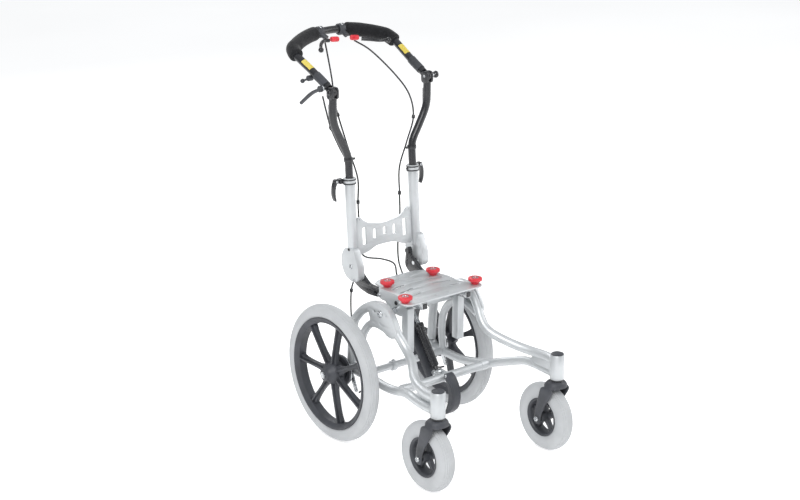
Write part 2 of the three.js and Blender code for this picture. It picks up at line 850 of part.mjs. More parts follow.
// A point in the plane of the handle: x across, v away from the pivots, lift square to it.
const onHandle = (x, v, up = 0) => [
  x,
  jointY + v * Math.cos(slope) - up * Math.sin(slope),
  jointZ + v * Math.sin(slope) + up * Math.cos(slope),
];
const bowV = (x) => handle.reach - handle.bow + Math.sqrt(handle.bow ** 2 - x ** 2);
const corner = bowV(handle.arm);
const armLine = [
  [upright.spread, eye + 3],
  [upright.spread + 0.5, 60],
  [upright.spread + 3, 110],
  [handle.arm, corner - 45],
  [handle.arm + 0.5, corner - 22],
];
const bowLine = [handle.arm - 8, 145, 120, 90, 60, 30, 0].map((x) => [x, bowV(x)]);
const halfLine = [...armLine, ...bowLine];
const fullLine = [...halfLine, ...halfLine.slice(0, -1).reverse().map(([x, v]) => [-x, v])];
const handleCurve = new THREE.CatmullRomCurve3(
  fullLine.map(([x, v]) => vec(onHandle(x, v))),
  false,
  "centripetal",
);

// The stretch of the handle's curve between two distances from its left end.
class Stretch extends THREE.Curve {
  constructor(curve, from, to) {
    super();
    Object.assign(this, { curve, from, to });
  }
  getPoint(t, target) {
    const s = this.from + (this.to - this.from) * t;
    return this.curve.getPointAt(s / this.curve.getLength(), target);
  }
}

const tiltMount = onHandle(-upright.spread - 19, 22);
function handlebar() {
  const tongue = (side) =>
    join(
      barX(side * upright.spread - tongueHalf, side * upright.spread + tongueHalf, jointY, jointZ, eye, 20),
      bar(onHandle(side * upright.spread, 8), onHandle(side * upright.spread, eye + 6), tongueHalf, 8),
    );
  const bores = [-1, 1].map((side) =>
    barX(side * upright.spread - 10, side * upright.spread + 10, jointY, jointZ, 4.5 + RUN, 16),
  );
  const leverPost = bar(onHandle(-upright.spread - 8, 24), tiltMount, 8, 12);
  const tube = sweep(handleCurve, handle.radius, SIDES, 28);
  return cut(join(tube, tongue(1), tongue(-1), leverPost), ...bores);
}
place("handlebar", handlebar(), blackPaint);

const handleLength = handleCurve.getLength();
const gripInner = 52;
const foamSlack = 1.8;
function gripSleeve() {
  const from = corner - 30 - eye;
  const to = handleLength / 2 - gripInner;
  return sweep(new Stretch(handleCurve, from, to), handle.foam, 10, 9, handle.radius + foamSlack);
}
placePair("grip", gripSleeve(), foam);

// Brake levers: a clamp on the bow, a lever in front of it and a red parking catch.
function leverBody(x, out) {
  const v = bowV(x);
  const ring = bar(onHandle(x - 10, v), onHandle(x + 10, v), handle.radius + 6, 16);
  const nose = bar(onHandle(x, v - 8), onHandle(out, v - 30, -2), 8, 10);
  return cut(join(ring, nose), sweep(handleCurve, handle.radius + 2 * GAP, SIDES, 28));
}
const levers = {
  right: {
    clampX: -38,
    noseX: -30,
    catchAt: [-11, 222],
    blade: [[-32, 220, 0], [-50, 221, 0], [-68, 208, 0], [-84, 184, 0]],
  },
  left: {
    clampX: 38,
    noseX: 40,
    catchAt: [56, 216],
    blade: [[74, 206, 0], [95, 192, 4], [119, 178, 7], [136, 161, 18]],
  },
};
for (const [side, lever] of Object.entries(levers)) {
  place(`brake_lever_body_${side}`, leverBody(lever.clampX, lever.noseX), blackPlastic);
  const path = lever.blade.map(([x, v, up]) => onHandle(x, v, up));
  const blade = join(
    bentTube(path, 5, { sides: 8, stepLength: 14 }),
    toSolid(new THREE.SphereGeometry(8, 8, 6).translate(...path[3])),
  );
  place(`brake_lever_${side}`, blade, blackPaint);
  const [cx, cv] = lever.catchAt;
  const tab = bar(onHandle(cx - 12, cv + 2), onHandle(cx + 12, cv - 2), 8, 8);
  place(`lever_lock_${side}`, tab, red);
}

const [mountX, mountY, mountZ] = tiltMount;
function tiltLever() {
  const x = mountX - 8 - GAP;
  const blade = bentTube(
    [[x, mountY, mountZ], [x - 2, mountY + 40, mountZ - 20], [x - 6, mountY + 84, mountZ - 54]],
    5,
    { sides: 8, stepLength: 12 },
  );
  return join(blade, barX(x - 5, x + 5, mountY, mountZ, 9, 14));
}
place("tilt_lever", tiltLever(), steel);

const releaseHub = 8;
const releaseX = handle.arm + 2;
const releaseRoot = onHandle(-releaseX, 96, -(handle.radius + releaseHub + GAP));
function releaseLever() {
  const [x, y, z] = releaseRoot;
  const tip = onHandle(-releaseX - 15, 105, -33);
  return join(
    barX(x - 8, x + 8, y, z, releaseHub, 12),
    bar(releaseRoot, tip, 3, 8),
    toSolid(new THREE.SphereGeometry(6.5, 8, 6).translate(...tip)),
  );
}
place("release_lever", releaseLever(), blackPlastic);

// ---------------------------------------------------------------- control cables
const cableRadius = 2.4;
const cables = {
  brake_cable_right: [
    [-32, 262, Z + 888],
    [-44, 232, Z + 850],
    [-60, 192, Z + 793],
    [-76, 161, Z + 744],
    [-86, 131, Z + 708],
    [-76, 94, Z + 610],
    [-70, 62, Z + 535],
    [-74, 56, Z + 467],
    [-74, 52, Z + 400],
    [-70, 56, Z + 320],
    [-76, 60, Z + 260],
    [-96, 62, Z + 205],
    [-112, 40, Z + 120],
    [-112, 16, Z + 40],
    [-116, -20, Z - 30],
    [-138, -44, Z - 56],
    [-158, -53, Z - 58],
  ],
  tilt_cable: [
    [-188, 62, Z + 788],
    [-170, 72, Z + 744],
    [-150, 78, Z + 690],
    [-118, 84, Z + 630],
    [-92, 74, Z + 570],
    [-88, 62, Z + 500],
    [-92, 48, Z + 430],
    [-84, 46, Z + 380],
    [-78, 46, Z + 336],
    [-66, 34, Z + 308],
    [-30, 2, Z + 302],
    [2, -12, Z + 285],
    [10, -14, Z + 252],
    [10, -28, Z + 224],
    [3, -52, Z + 205],
  ],
  brake_cable_left: [
    [72, 262, Z + 880],
    [108, 228, Z + 850],
    [140, 160, Z + 790],
    [146, 100, Z + 740],
    [138, 70, Z + 680],
    [108, 64, Z + 610],
    [82, 64, Z + 540],
    [76, 56, Z + 467],
    [74, 52, Z + 400],
    [70, 56, Z + 320],
    [76, 60, Z + 260],
    [96, 62, Z + 205],
    [112, 40, Z + 120],
    [112, 16, Z + 40],
    [116, -20, Z - 30],
    [138, -44, Z - 56],
    [158, -53, Z - 58],
  ],
};
for (const [name, route] of Object.entries(cables)) {
  place(name, bentTube(route, cableRadius, { stepLength: 40 }), blackPaint);
}

// ---------------------------------------------------------------- origin
const extent = new THREE.Box3().setFromObject(model);
model.position.y = -(extent.min.y + extent.max.y) / 2;

export default model;
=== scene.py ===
import json
import math

import bpy
from mathutils import Matrix, Vector

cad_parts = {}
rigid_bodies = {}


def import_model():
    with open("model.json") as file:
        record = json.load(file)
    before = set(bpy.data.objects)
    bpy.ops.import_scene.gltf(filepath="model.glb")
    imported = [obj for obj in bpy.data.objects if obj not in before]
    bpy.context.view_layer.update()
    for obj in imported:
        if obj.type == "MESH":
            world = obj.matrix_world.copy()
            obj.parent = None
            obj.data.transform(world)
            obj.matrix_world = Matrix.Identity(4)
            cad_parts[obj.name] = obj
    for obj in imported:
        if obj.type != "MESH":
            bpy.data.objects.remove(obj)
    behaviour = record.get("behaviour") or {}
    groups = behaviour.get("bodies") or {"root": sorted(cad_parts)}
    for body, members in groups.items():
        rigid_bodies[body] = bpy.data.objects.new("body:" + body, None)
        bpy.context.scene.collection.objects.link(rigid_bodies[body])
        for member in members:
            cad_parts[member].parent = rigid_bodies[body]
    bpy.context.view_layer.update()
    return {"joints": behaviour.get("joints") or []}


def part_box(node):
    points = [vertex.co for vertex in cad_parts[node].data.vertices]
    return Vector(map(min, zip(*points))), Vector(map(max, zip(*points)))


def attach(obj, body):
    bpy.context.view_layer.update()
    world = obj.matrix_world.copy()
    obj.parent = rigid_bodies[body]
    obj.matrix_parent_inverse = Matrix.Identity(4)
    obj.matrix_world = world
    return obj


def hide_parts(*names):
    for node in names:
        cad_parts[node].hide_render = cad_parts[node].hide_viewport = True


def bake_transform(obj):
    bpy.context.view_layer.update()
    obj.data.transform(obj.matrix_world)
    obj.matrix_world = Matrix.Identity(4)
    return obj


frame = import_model()
bpy.ops.object.select_all(action="DESELECT")

# Millimetres in this script: x across, y from the rear axle, z above the floor.
MM = 0.001
JOINTS = {j["name"]: j for j in frame["joints"]}
AXLE = Vector(JOINTS["rear_spin_left"]["pos_m"])
WHEEL_X = AXLE.x / MM
AXLE_Z = AXLE.z / MM
CASTER = Vector(JOINTS["caster_spin_left"]["pos_m"])
CASTER_X = CASTER.x / MM
CASTER_Y = (CASTER.y - AXLE.y) / MM
CASTER_Z = CASTER.z / MM
HEAD_Y = (JOINTS["caster_swivel_left"]["pos_m"][1] - AXLE.y) / MM
TILT = Vector(JOINTS["seat_tilt"]["pos_m"])
TILT_Y = (TILT.y - AXLE.y) / MM
TILT_Z = TILT.z / MM
BACK = Vector(JOINTS["back_recline"]["pos_m"])
BACK_Y = (BACK.y - AXLE.y) / MM
BACK_Z = BACK.z / MM
HINGE = Vector(JOINTS["handle_angle"]["pos_m"])
HINGE_Y = (HINGE.y - AXLE.y) / MM
HINGE_Z = HINGE.z / MM
SEAT_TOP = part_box("seat_plate")[1].z / MM
FRAME_X = 148
ARCH_R = 13
POST_X = 113.5
REAR_TYRE, CASTER_TYRE = 22, 25  # radius of each tyre's section
REAR_SEAT, CASTER_SEAT = 14, 17  # half the width of the flat that sits in the rim
CABLE_R = 2.4
POST_R = 14.5
UPRIGHT_X = 167
TUBE_R = 11
FOAM_R = 20.6  # a little inside the sleeve's full size, for its dents
SLOPE = math.radians(25.7)
X_AXIS, Y_AXIS, Z_AXIS = Vector((1, 0, 0)), Vector((0, 1, 0)), Vector((0, 0, 1))


def at(x, y, z):
    return Vector((x * MM, AXLE.y + y * MM, z * MM))


def on_handle(x, v, up=0.0):
    """A point in the handle's plane: v away from the hinge, up square to the plane."""
    y = HINGE_Y + v * math.cos(SLOPE) - up * math.sin(SLOPE)
    z = HINGE_Z + v * math.sin(SLOPE) + up * math.cos(SLOPE)
    return at(x, y, z)


# ------------------------------------------------------------------ finishes
def linear(code):
    """An sRGB hex colour as the linear values that a shader takes."""
    parts = [int(code[i : i + 2], 16) / 255 for i in (1, 3, 5)]
    return [c / 12.92 if c <= 0.04045 else ((c + 0.055) / 1.055) ** 2.4 for c in parts] + [1.0]


def add_node(tree, kind, settings=None, links=None, **sockets):
    """Adds one node, with its settings, its socket values and its incoming links."""
    made = tree.nodes.new(kind)
    for key, value in (settings or {}).items():
        setattr(made, key, value)
    for key, value in sockets.items():
        made.inputs[key.replace("_", " ")].default_value = value
    for key, source in (links or {}).items():
        tree.links.new(source, made.inputs[key])
    return made


def new_finish(name, metallic, roughness):
    made = bpy.data.materials.new(name)
    made.use_nodes = True
    tree = made.node_tree
    shader = tree.nodes["Principled BSDF"]
    shader.inputs["Metallic"].default_value = metallic
    shader.inputs["Roughness"].default_value = roughness
    place = add_node(tree, "ShaderNodeTexCoord").outputs["Object"]
    return made, tree, shader, place


def mottle(tree, place, scale, low, high, detail=4.0):
    """A slow change between two colours, or two greys used as numbers."""
    noise = add_node(tree, "ShaderNodeTexNoise", links={"Vector": place}, Scale=scale, Detail=detail)
    ramp = add_node(tree, "ShaderNodeValToRGB", links={"Fac": noise.outputs["Fac"]})
    ramp.color_ramp.elements[0].position = 0.32
    ramp.color_ramp.elements[1].position = 0.68
    ramp.color_ramp.elements[0].color = low
    ramp.color_ramp.elements[1].color = high
    return ramp.outputs["Color"]


def vary(tree, shader, place, socket, *pattern):
    tree.links.new(mottle(tree, place, *pattern), shader.inputs[socket])


def grain(tree, shader, height, depth_mm, strength):
    bump = add_node(tree, "ShaderNodeBump", links={"Height": height}, Distance=depth_mm * MM,
            Strength=strength)
    tree.links.new(bump.outputs["Normal"], shader.inputs["Normal"])


def grey(value):
    return [value, value, value, 1.0]


def silver_powder_coat():
    # Silver powder coat on aluminium tube: soft wide highlights and a fine metal flake.
    made, tree, shader, place = new_finish("silver_powder_coated_aluminium", 0.55, 0.4)
    vary(tree, shader, place, "Base Color", 14, linear("#c3c6c8"), linear("#cccfd1"))
    vary(tree, shader, place, "Roughness", 60, grey(0.38), grey(0.48))
    # The real flake is about 0.3 mm across. It is drawn at 1.2 mm so that it shows.
    flake = add_node(tree, "ShaderNodeTexNoise", links={"Vector": place}, Scale=1 / (1.2 * MM), Detail=2.0)
    grain(tree, shader, flake.outputs["Fac"], 0.06, 0.25)
    return made


def zinc_plated_steel():
    # Zinc-plated screws, pins and rails: bright, with faint drawn lines.
    made, tree, shader, place = new_finish("zinc_plated_steel", 1.0, 0.24)
    vary(tree, shader, place, "Base Color", 90, linear("#b4b7ba"), linear("#cfd1d3"))
    lines = add_node(tree, "ShaderNodeTexWave", {"bands_direction": "Y"}, {"Vector": place}, Scale=160.0,
            Distortion=3.0)
    grain(tree, shader, lines.outputs["Fac"], 0.03, 0.2)
    vary(tree, shader, place, "Roughness", 240, grey(0.18), grey(0.32))
    return made


def black_powder_coat():
    # Black powder-coated tube: deep black with sharp highlights and slight orange peel.
    made, tree, shader, place = new_finish("black_powder_coated_tube", 0.0, 0.27)
    shader.inputs["Coat Weight"].default_value = 0.25
    shader.inputs["Coat Roughness"].default_value = 0.12
    vary(tree, shader, place, "Base Color", 25, linear("#1b1c1f"), linear("#26272b"))
    vary(tree, shader, place, "Roughness", 120, grey(0.22), grey(0.34))
    # Orange peel is about 1.5 mm from crest to crest.
    peel = add_node(tree, "ShaderNodeTexNoise", links={"Vector": place}, Scale=1 / (1.5 * MM), Detail=1.0)
    grain(tree, shader, peel.outputs["Fac"], 0.05, 0.3)
    return made


def moulded_nylon():
    # Glass-filled nylon rims, forks and levers: dark grey, matt, with a fine moulded grain.
    made, tree, shader, place = new_finish("moulded_glass_filled_nylon", 0.0, 0.5)
    vary(tree, shader, place, "Base Color", 18, linear("#34363a"), linear("#42444a"))
    vary(tree, shader, place, "Roughness", 70, grey(0.42), grey(0.58))
    cells = add_node(tree, "ShaderNodeTexVoronoi", links={"Vector": place}, Scale=1 / (0.9 * MM))
    grain(tree, shader, cells.outputs["Distance"], 0.08, 0.35)
    return made


def grey_tyre_rubber():
    # Non-marking grey rubber: pale and matt, with mould marks and a little floor dust.
    made, tree, shader, place = new_finish("non_marking_grey_rubber", 0.0, 0.72)
    vary(tree, shader, place, "Base Color", 22, linear("#b2b4b6"), linear("#b9bbbd"), 3)
    vary(tree, shader, place, "Roughness", 45, grey(0.68), grey(0.8))
    skin = add_node(tree, "ShaderNodeTexNoise", links={"Vector": place}, Scale=1 / (1.1 * MM), Detail=3.0)
    grain(tree, shader, skin.outputs["Fac"], 0.1, 0.4)
    return made


def nitrile_foam():
    # Closed-cell nitrile foam: very dark and matt, with open cells about a millimetre across.
    made, tree, shader, place = new_finish("nitrile_foam", 0.0, 0.95)
    shader.inputs["Specular IOR Level"].default_value = 0.25
    shader.inputs["Sheen Weight"].default_value = 0.15
    vary(tree, shader, place, "Base Color", 160, linear("#141416"), linear("#222326"), 8)
    cells = add_node(tree, "ShaderNodeTexVoronoi", links={"Vector": place}, Scale=1 / (1.3 * MM))
    grain(tree, shader, cells.outputs["Distance"], 0.35, 0.8)
    return made


def red_acetal():
    # Red moulded acetal: satin, with slightly darker patches where the moulding filled.
    made, tree, shader, place = new_finish("red_moulded_acetal", 0.0, 0.36)
    vary(tree, shader, place, "Base Color", 55, linear("#c4232f"), linear("#dd3844"))
    skin = add_node(tree, "ShaderNodeTexNoise", links={"Vector": place}, Scale=1 / (0.8 * MM), Detail=2.0)
    grain(tree, shader, skin.outputs["Fac"], 0.05, 0.3)
    return made


def cable_vinyl():
    # Smooth black vinyl over a wound steel liner, whose turns show faintly.
    made, tree, shader, place = new_finish("black_cable_vinyl", 0.0, 0.38)
    vary(tree, shader, place, "Base Color", 40, linear("#17181a"), linear("#242528"))
    turns = add_node(tree, "ShaderNodeTexWave", {"bands_direction": "Z"}, {"Vector": place}, Scale=220.0)
    grain(tree, shader, turns.outputs["Fac"], 0.04, 0.25)
    return made


def yellow_label_film():
    # Printed vinyl film: flat yellow, very slightly uneven, with no printing on it.
    made, tree, shader, place = new_finish("yellow_label_film", 0.0, 0.42)
    vary(tree, shader, place, "Base Color", 70, linear("#d2bd4a"), linear("#dccb68"))
    return made


def pale_floor():
    made, tree, shader, place = new_finish("pale_studio_floor", 0.0, 0.6)
    tone = mottle(tree, place, 0.4, linear("#e9e9e9"), linear("#eeeeee"))
    tree.links.new(tone, shader.inputs["Base Color"])
    tree.links.new(tone, shader.inputs["Emission Color"])
    shader.inputs["Emission Strength"].default_value = 0.55
    return made


SILVER, STEEL, BLACK = silver_powder_coat(), zinc_plated_steel(), black_powder_coat()
NYLON, RUBBER, FOAM = moulded_nylon(), grey_tyre_rubber(), nitrile_foam()
RED, VINYL, YELLOW, FLOOR = red_acetal(), cable_vinyl(), yellow_label_film(), pale_floor()


# ------------------------------------------------------------------ ways of making
def edit(select="SELECT"):
    bpy.ops.object.mode_set(mode="EDIT")
    bpy.ops.mesh.select_all(action=select)


def close_up():
    """Merges doubles and points every face outwards."""
    edit()
    bpy.ops.mesh.remove_doubles(threshold=0.000004)
    bpy.ops.mesh.normals_make_consistent(inside=False)
    bpy.ops.object.mode_set(mode="OBJECT")


def only(obj):
    bpy.ops.object.select_all(action="DESELECT")
    obj.select_set(True)
    bpy.context.view_layer.objects.active = obj
    return obj


def modify(obj, kind, **settings):
    """Adds a modifier, sets it and applies it."""
    only(obj)
    modifier = obj.modifiers.new(kind.lower(), kind)
    for key, value in settings.items():
        setattr(modifier, key, value)
    bpy.ops.object.modifier_apply(modifier=modifier.name)
    return obj


def soften(obj, width, segments=3, angle=38):
    return modify(obj, "BEVEL", width=width * MM, segments=segments, limit_method="ANGLE",
                  angle_limit=math.radians(angle), harden_normals=False)


def turn(profile, centre, along, finish, steps=48):
    """A profile of (radius, height) in millimetres, spun about an axis."""
    along = Vector(along).normalized()
    out = along.orthogonal().normalized()
    points = [centre + out * (r * MM) + along * (h * MM) for r, h in profile]
    bpy.ops.mesh.primitive_plane_add(size=0.01, location=(0, 0, 0))
    edit()
    bpy.ops.mesh.merge(type="CENTER")
    bpy.ops.transform.translate(value=points[0])
    for here, there in zip(points, points[1:]):
        bpy.ops.mesh.extrude_region_move(TRANSFORM_OT_translate={"value": there - here})
    bpy.ops.mesh.select_all(action="SELECT")
    bpy.ops.mesh.spin(steps=steps, angle=2 * math.pi, center=centre, axis=along)
    bpy.ops.object.mode_set(mode="OBJECT")
    close_up()
    return paint(bpy.context.object, finish)


def smooth(points, per=8):
    """A Catmull-Rom line through points."""
    points = [Vector(p) for p in points]
    ends = [2 * points[0] - points[1], *points, 2 * points[-1] - points[-2]]
    line = []
    for a, b, c, d in zip(ends, ends[1:], ends[2:], ends[3:]):
        for k in range(per):
            t = k / per
            bend = (2 * a - 5 * b + 4 * c - d) * t**2 + (3 * b - a - 3 * c + d) * t**3
            line.append(0.5 * (2 * b + (c - a) * t + bend))
    return [*line, points[-1]]


def stretch(line, start, end):
    """The part of a line between two distances along it, in millimetres."""
    kept, run = [], 0.0
    for a, b in zip(line, line[1:]):
        if start <= run / MM <= end:
            kept.append(a)
        run += (b - a).length
    return kept


def length_of(line):
    return sum((b - a).length for a, b in zip(line, line[1:])) / MM


def tube(line, radius, finish, sides=5, radii=None):
    """A round tube along a line, closed at its ends; radii scale it point by point."""
    bpy.ops.curve.primitive_bezier_curve_add(location=(0, 0, 0))
    obj = bpy.context.object
    data = obj.data
    data.splines.clear()
    spline = data.splines.new("POLY")
    spline.points.add(len(line) - 1)
    for i, (point, place) in enumerate(zip(spline.points, line)):
        point.co = (*place, 1)
        point.radius = radii[i] if radii else 1
    data.dimensions = "3D"
    data.bevel_depth = radius * MM
    data.bevel_resolution = sides
    data.use_fill_caps = True
    bpy.ops.object.convert(target="MESH")
    close_up()
    return paint(bpy.context.object, finish)


def rod(start, end, radius, finish, sides=5):
    return tube([start, start.lerp(end, 0.5), end], radius, finish, sides)


def rounded(corners, r, steps=5):
    """An outline with its corners rounded by r."""
    line = []
    for i, corner in enumerate(corners):
        c, a, b = Vector(corner), Vector(corners[i - 1]), Vector(corners[(i + 1) % len(corners)])
        p = c.lerp(a, min(r / (a - c).length, 0.45))
        q = c.lerp(b, min(r / (b - c).length, 0.45))
        for k in range(steps + 1):
            t = k / steps
            line.append((1 - t) ** 2 * p + 2 * t * (1 - t) * c + t * t * q)
    return line


def circle(u, v, r, steps=20):
    return [Vector((u + r * math.cos(2 * math.pi * k / steps),
            v + r * math.sin(2 * math.pi * k / steps))) for k in range(steps)]


PLANES = {
    "x": Matrix(((0, 0, 1, 0), (1, 0, 0, 0), (0, 1, 0, 0), (0, 0, 0, 1))),
    "y": Matrix(((1, 0, 0, 0), (0, 0, -1, 0), (0, 1, 0, 0), (0, 0, 0, 1))),
    "z": Matrix.Identity(4),
}


def plate(outline, low, high, plane, finish, holes=(), edge=0.8):
    """A flat plate with holes: outline in millimetres, from low to high along the plane's normal."""
    bpy.ops.curve.primitive_bezier_circle_add(location=(0, 0, 0))
    obj = bpy.context.object
    data = obj.data
    data.splines.clear()
    for ring in (outline, *holes):
        spline = data.splines.new("POLY")
        spline.points.add(len(ring) - 1)
        for point, place in zip(spline.points, ring):
            point.co = (place[0] * MM, place[1] * MM, 0, 1)
        spline.use_cyclic_u = True
    data.dimensions = "2D"
    data.fill_mode = "BOTH"
    data.extrude = (high - low) / 2 * MM
    bpy.ops.object.convert(target="MESH")
    middle = (low + high) / 2
    offset = {"x": at(middle, 0, 0), "y": at(0, middle, 0), "z": at(0, 0, middle)}[plane]
    obj.matrix_world = Matrix.Translation(offset) @ PLANES[plane]
    bpy.ops.object.transform_apply(location=True, rotation=True, scale=True)
    close_up()
    if edge:
        soften(obj, edge, 2)
    return paint(obj, finish)


def block(low, high, finish, edge=1.0):
    """A box between two corners in millimetres, with softened edges."""
    a, b = at(*low), at(*high)
    bpy.ops.mesh.primitive_cube_add(size=1, location=(a + b) / 2, scale=b - a)
    bpy.ops.object.transform_apply(location=True, rotation=True, scale=True)
    return paint(soften(bpy.context.object, edge, 2), finish)


def limb(stations, finish, levels=2):
    """Level sections (x, y, z, width, depth) joined upwards and rounded."""
    x, y, z, width, depth = stations[0]
    bpy.ops.mesh.primitive_plane_add(size=1, location=at(x, y, z), scale=(1, 1, 1))
    edit()
    bpy.ops.transform.resize(value=(width * MM, depth * MM, 1), center_override=at(x, y, z))
    for before, here in zip(stations, stations[1:]):
        a, b = at(*before[:3]), at(*here[:3])
        bpy.ops.mesh.extrude_region_move(TRANSFORM_OT_translate={"value": b - a})
        bpy.ops.transform.resize(value=(here[3] / before[3], here[4] / before[4], 1), center_override=b)
    bpy.ops.object.mode_set(mode="OBJECT")
    bpy.ops.object.transform_apply(location=True, rotation=True, scale=True)
    close_up()
    modify(bpy.context.object, "SUBSURF", levels=levels, render_levels=levels)
    return paint(bpy.context.object, finish)


def cut(obj, *tools):
    for tool in tools:
        modify(obj, "BOOLEAN", operation="DIFFERENCE", object=tool, solver="EXACT")
        bpy.data.objects.remove(tool)
    return obj


def paint(obj, finish):
    obj.data.materials.clear()
    obj.data.materials.append(finish)
    return obj


def join(parts):
    bpy.ops.object.select_all(action="DESELECT")
    for part in parts:
        part.select_set(True)
    bpy.context.view_layer.objects.active = parts[0]
    if len(parts) > 1:
        bpy.ops.object.join()
    return bpy.context.object


def moulded(parts, voxel, rounds=8):
    """Runs parts together into one moulding with soft inside corners."""
    finish = parts[0].data.materials[0]
    obj = join(parts)
    modify(obj, "REMESH", mode="VOXEL", voxel_size=voxel * MM)
    modify(obj, "SMOOTH", factor=0.5, iterations=rounds)
    return paint(obj, finish)


def turned_copy(obj, centre, axis, angle):
    """A copy with its own mesh, turned about an axis through a point."""
    only(obj)
    bpy.ops.object.duplicate(linked=False)
    copy = bpy.context.object
    copy.matrix_world = Matrix.Translation(centre) @ Matrix.Rotation(angle, 4,
            axis) @ Matrix.Translation(-centre)
    bpy.ops.object.transform_apply(location=True, rotation=True, scale=True)
    return copy


def settle(obj, name, body, stands_for=(), angle=40):
    only(obj)
    bpy.ops.object.transform_apply(location=True, rotation=True, scale=True)
    bpy.ops.object.shade_smooth_by_angle(angle=math.radians(angle))
    obj.name = name
    obj.data.name = name
    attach(obj, body)
    if stands_for:
        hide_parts(*stands_for)
    return obj


def mirrored(obj):
    only(obj)
    bpy.ops.object.duplicate(linked=False)
    copy = bpy.context.object
    copy.scale.x = -1
    bpy.ops.object.transform_apply(location=True, rotation=True, scale=True)
    edit()
    bpy.ops.mesh.normals_make_consistent(inside=False)
    bpy.ops.object.mode_set(mode="OBJECT")
    return copy


def settle_pair(obj, name, body, stands_for=(), angle=40):
    """The left piece and its mirror image; a body or node ending in _ takes the side's name."""
    sided = lambda word, side: word + side if word.endswith("_") else word
    other = mirrored(obj)
    for side, made in (("left", obj), ("right", other)):
        settle(made, f"{name}_{side}", sided(body, side), [sided(n, side) for n in stands_for], angle=angle)


def screw(centre, along, radius, finish=STEEL, height=3.5):
    """A button-head screw with a round socket."""
    h, r = height, radius
    profile = [(0, -1), (r, -1), (r, h * 0.3), (r * 0.85, h * 0.75), (r * 0.5, h), (r * 0.42, h),
            (r * 0.36, h * 0.4), (0, h * 0.4)]
    return turn(profile, centre, along, finish, 24)


# ------------------------------------------------------------------ rear wheels
def tyre_profile(outer, r, seat_half, grooves, depth, steps=56):
    middle = outer - r
    start = math.acos(seat_half / r)
    line = []
    for i in range(steps + 1):
        a = -start + (math.pi + 2 * start) * i / steps
        side = r * math.cos(a)
        on_tread = math.sin(a) > 0.5
        cut_in = depth if on_tread and any(abs(side - g) < 0.9 for g in grooves) else 0
        line.append((middle + (r - cut_in) * math.sin(a), (r - cut_in) * math.cos(a)))
    return [*line, line[0]]


SPOKES = 7
SPOKE_TURN = math.radians(12.86)  # from straight up towards the front


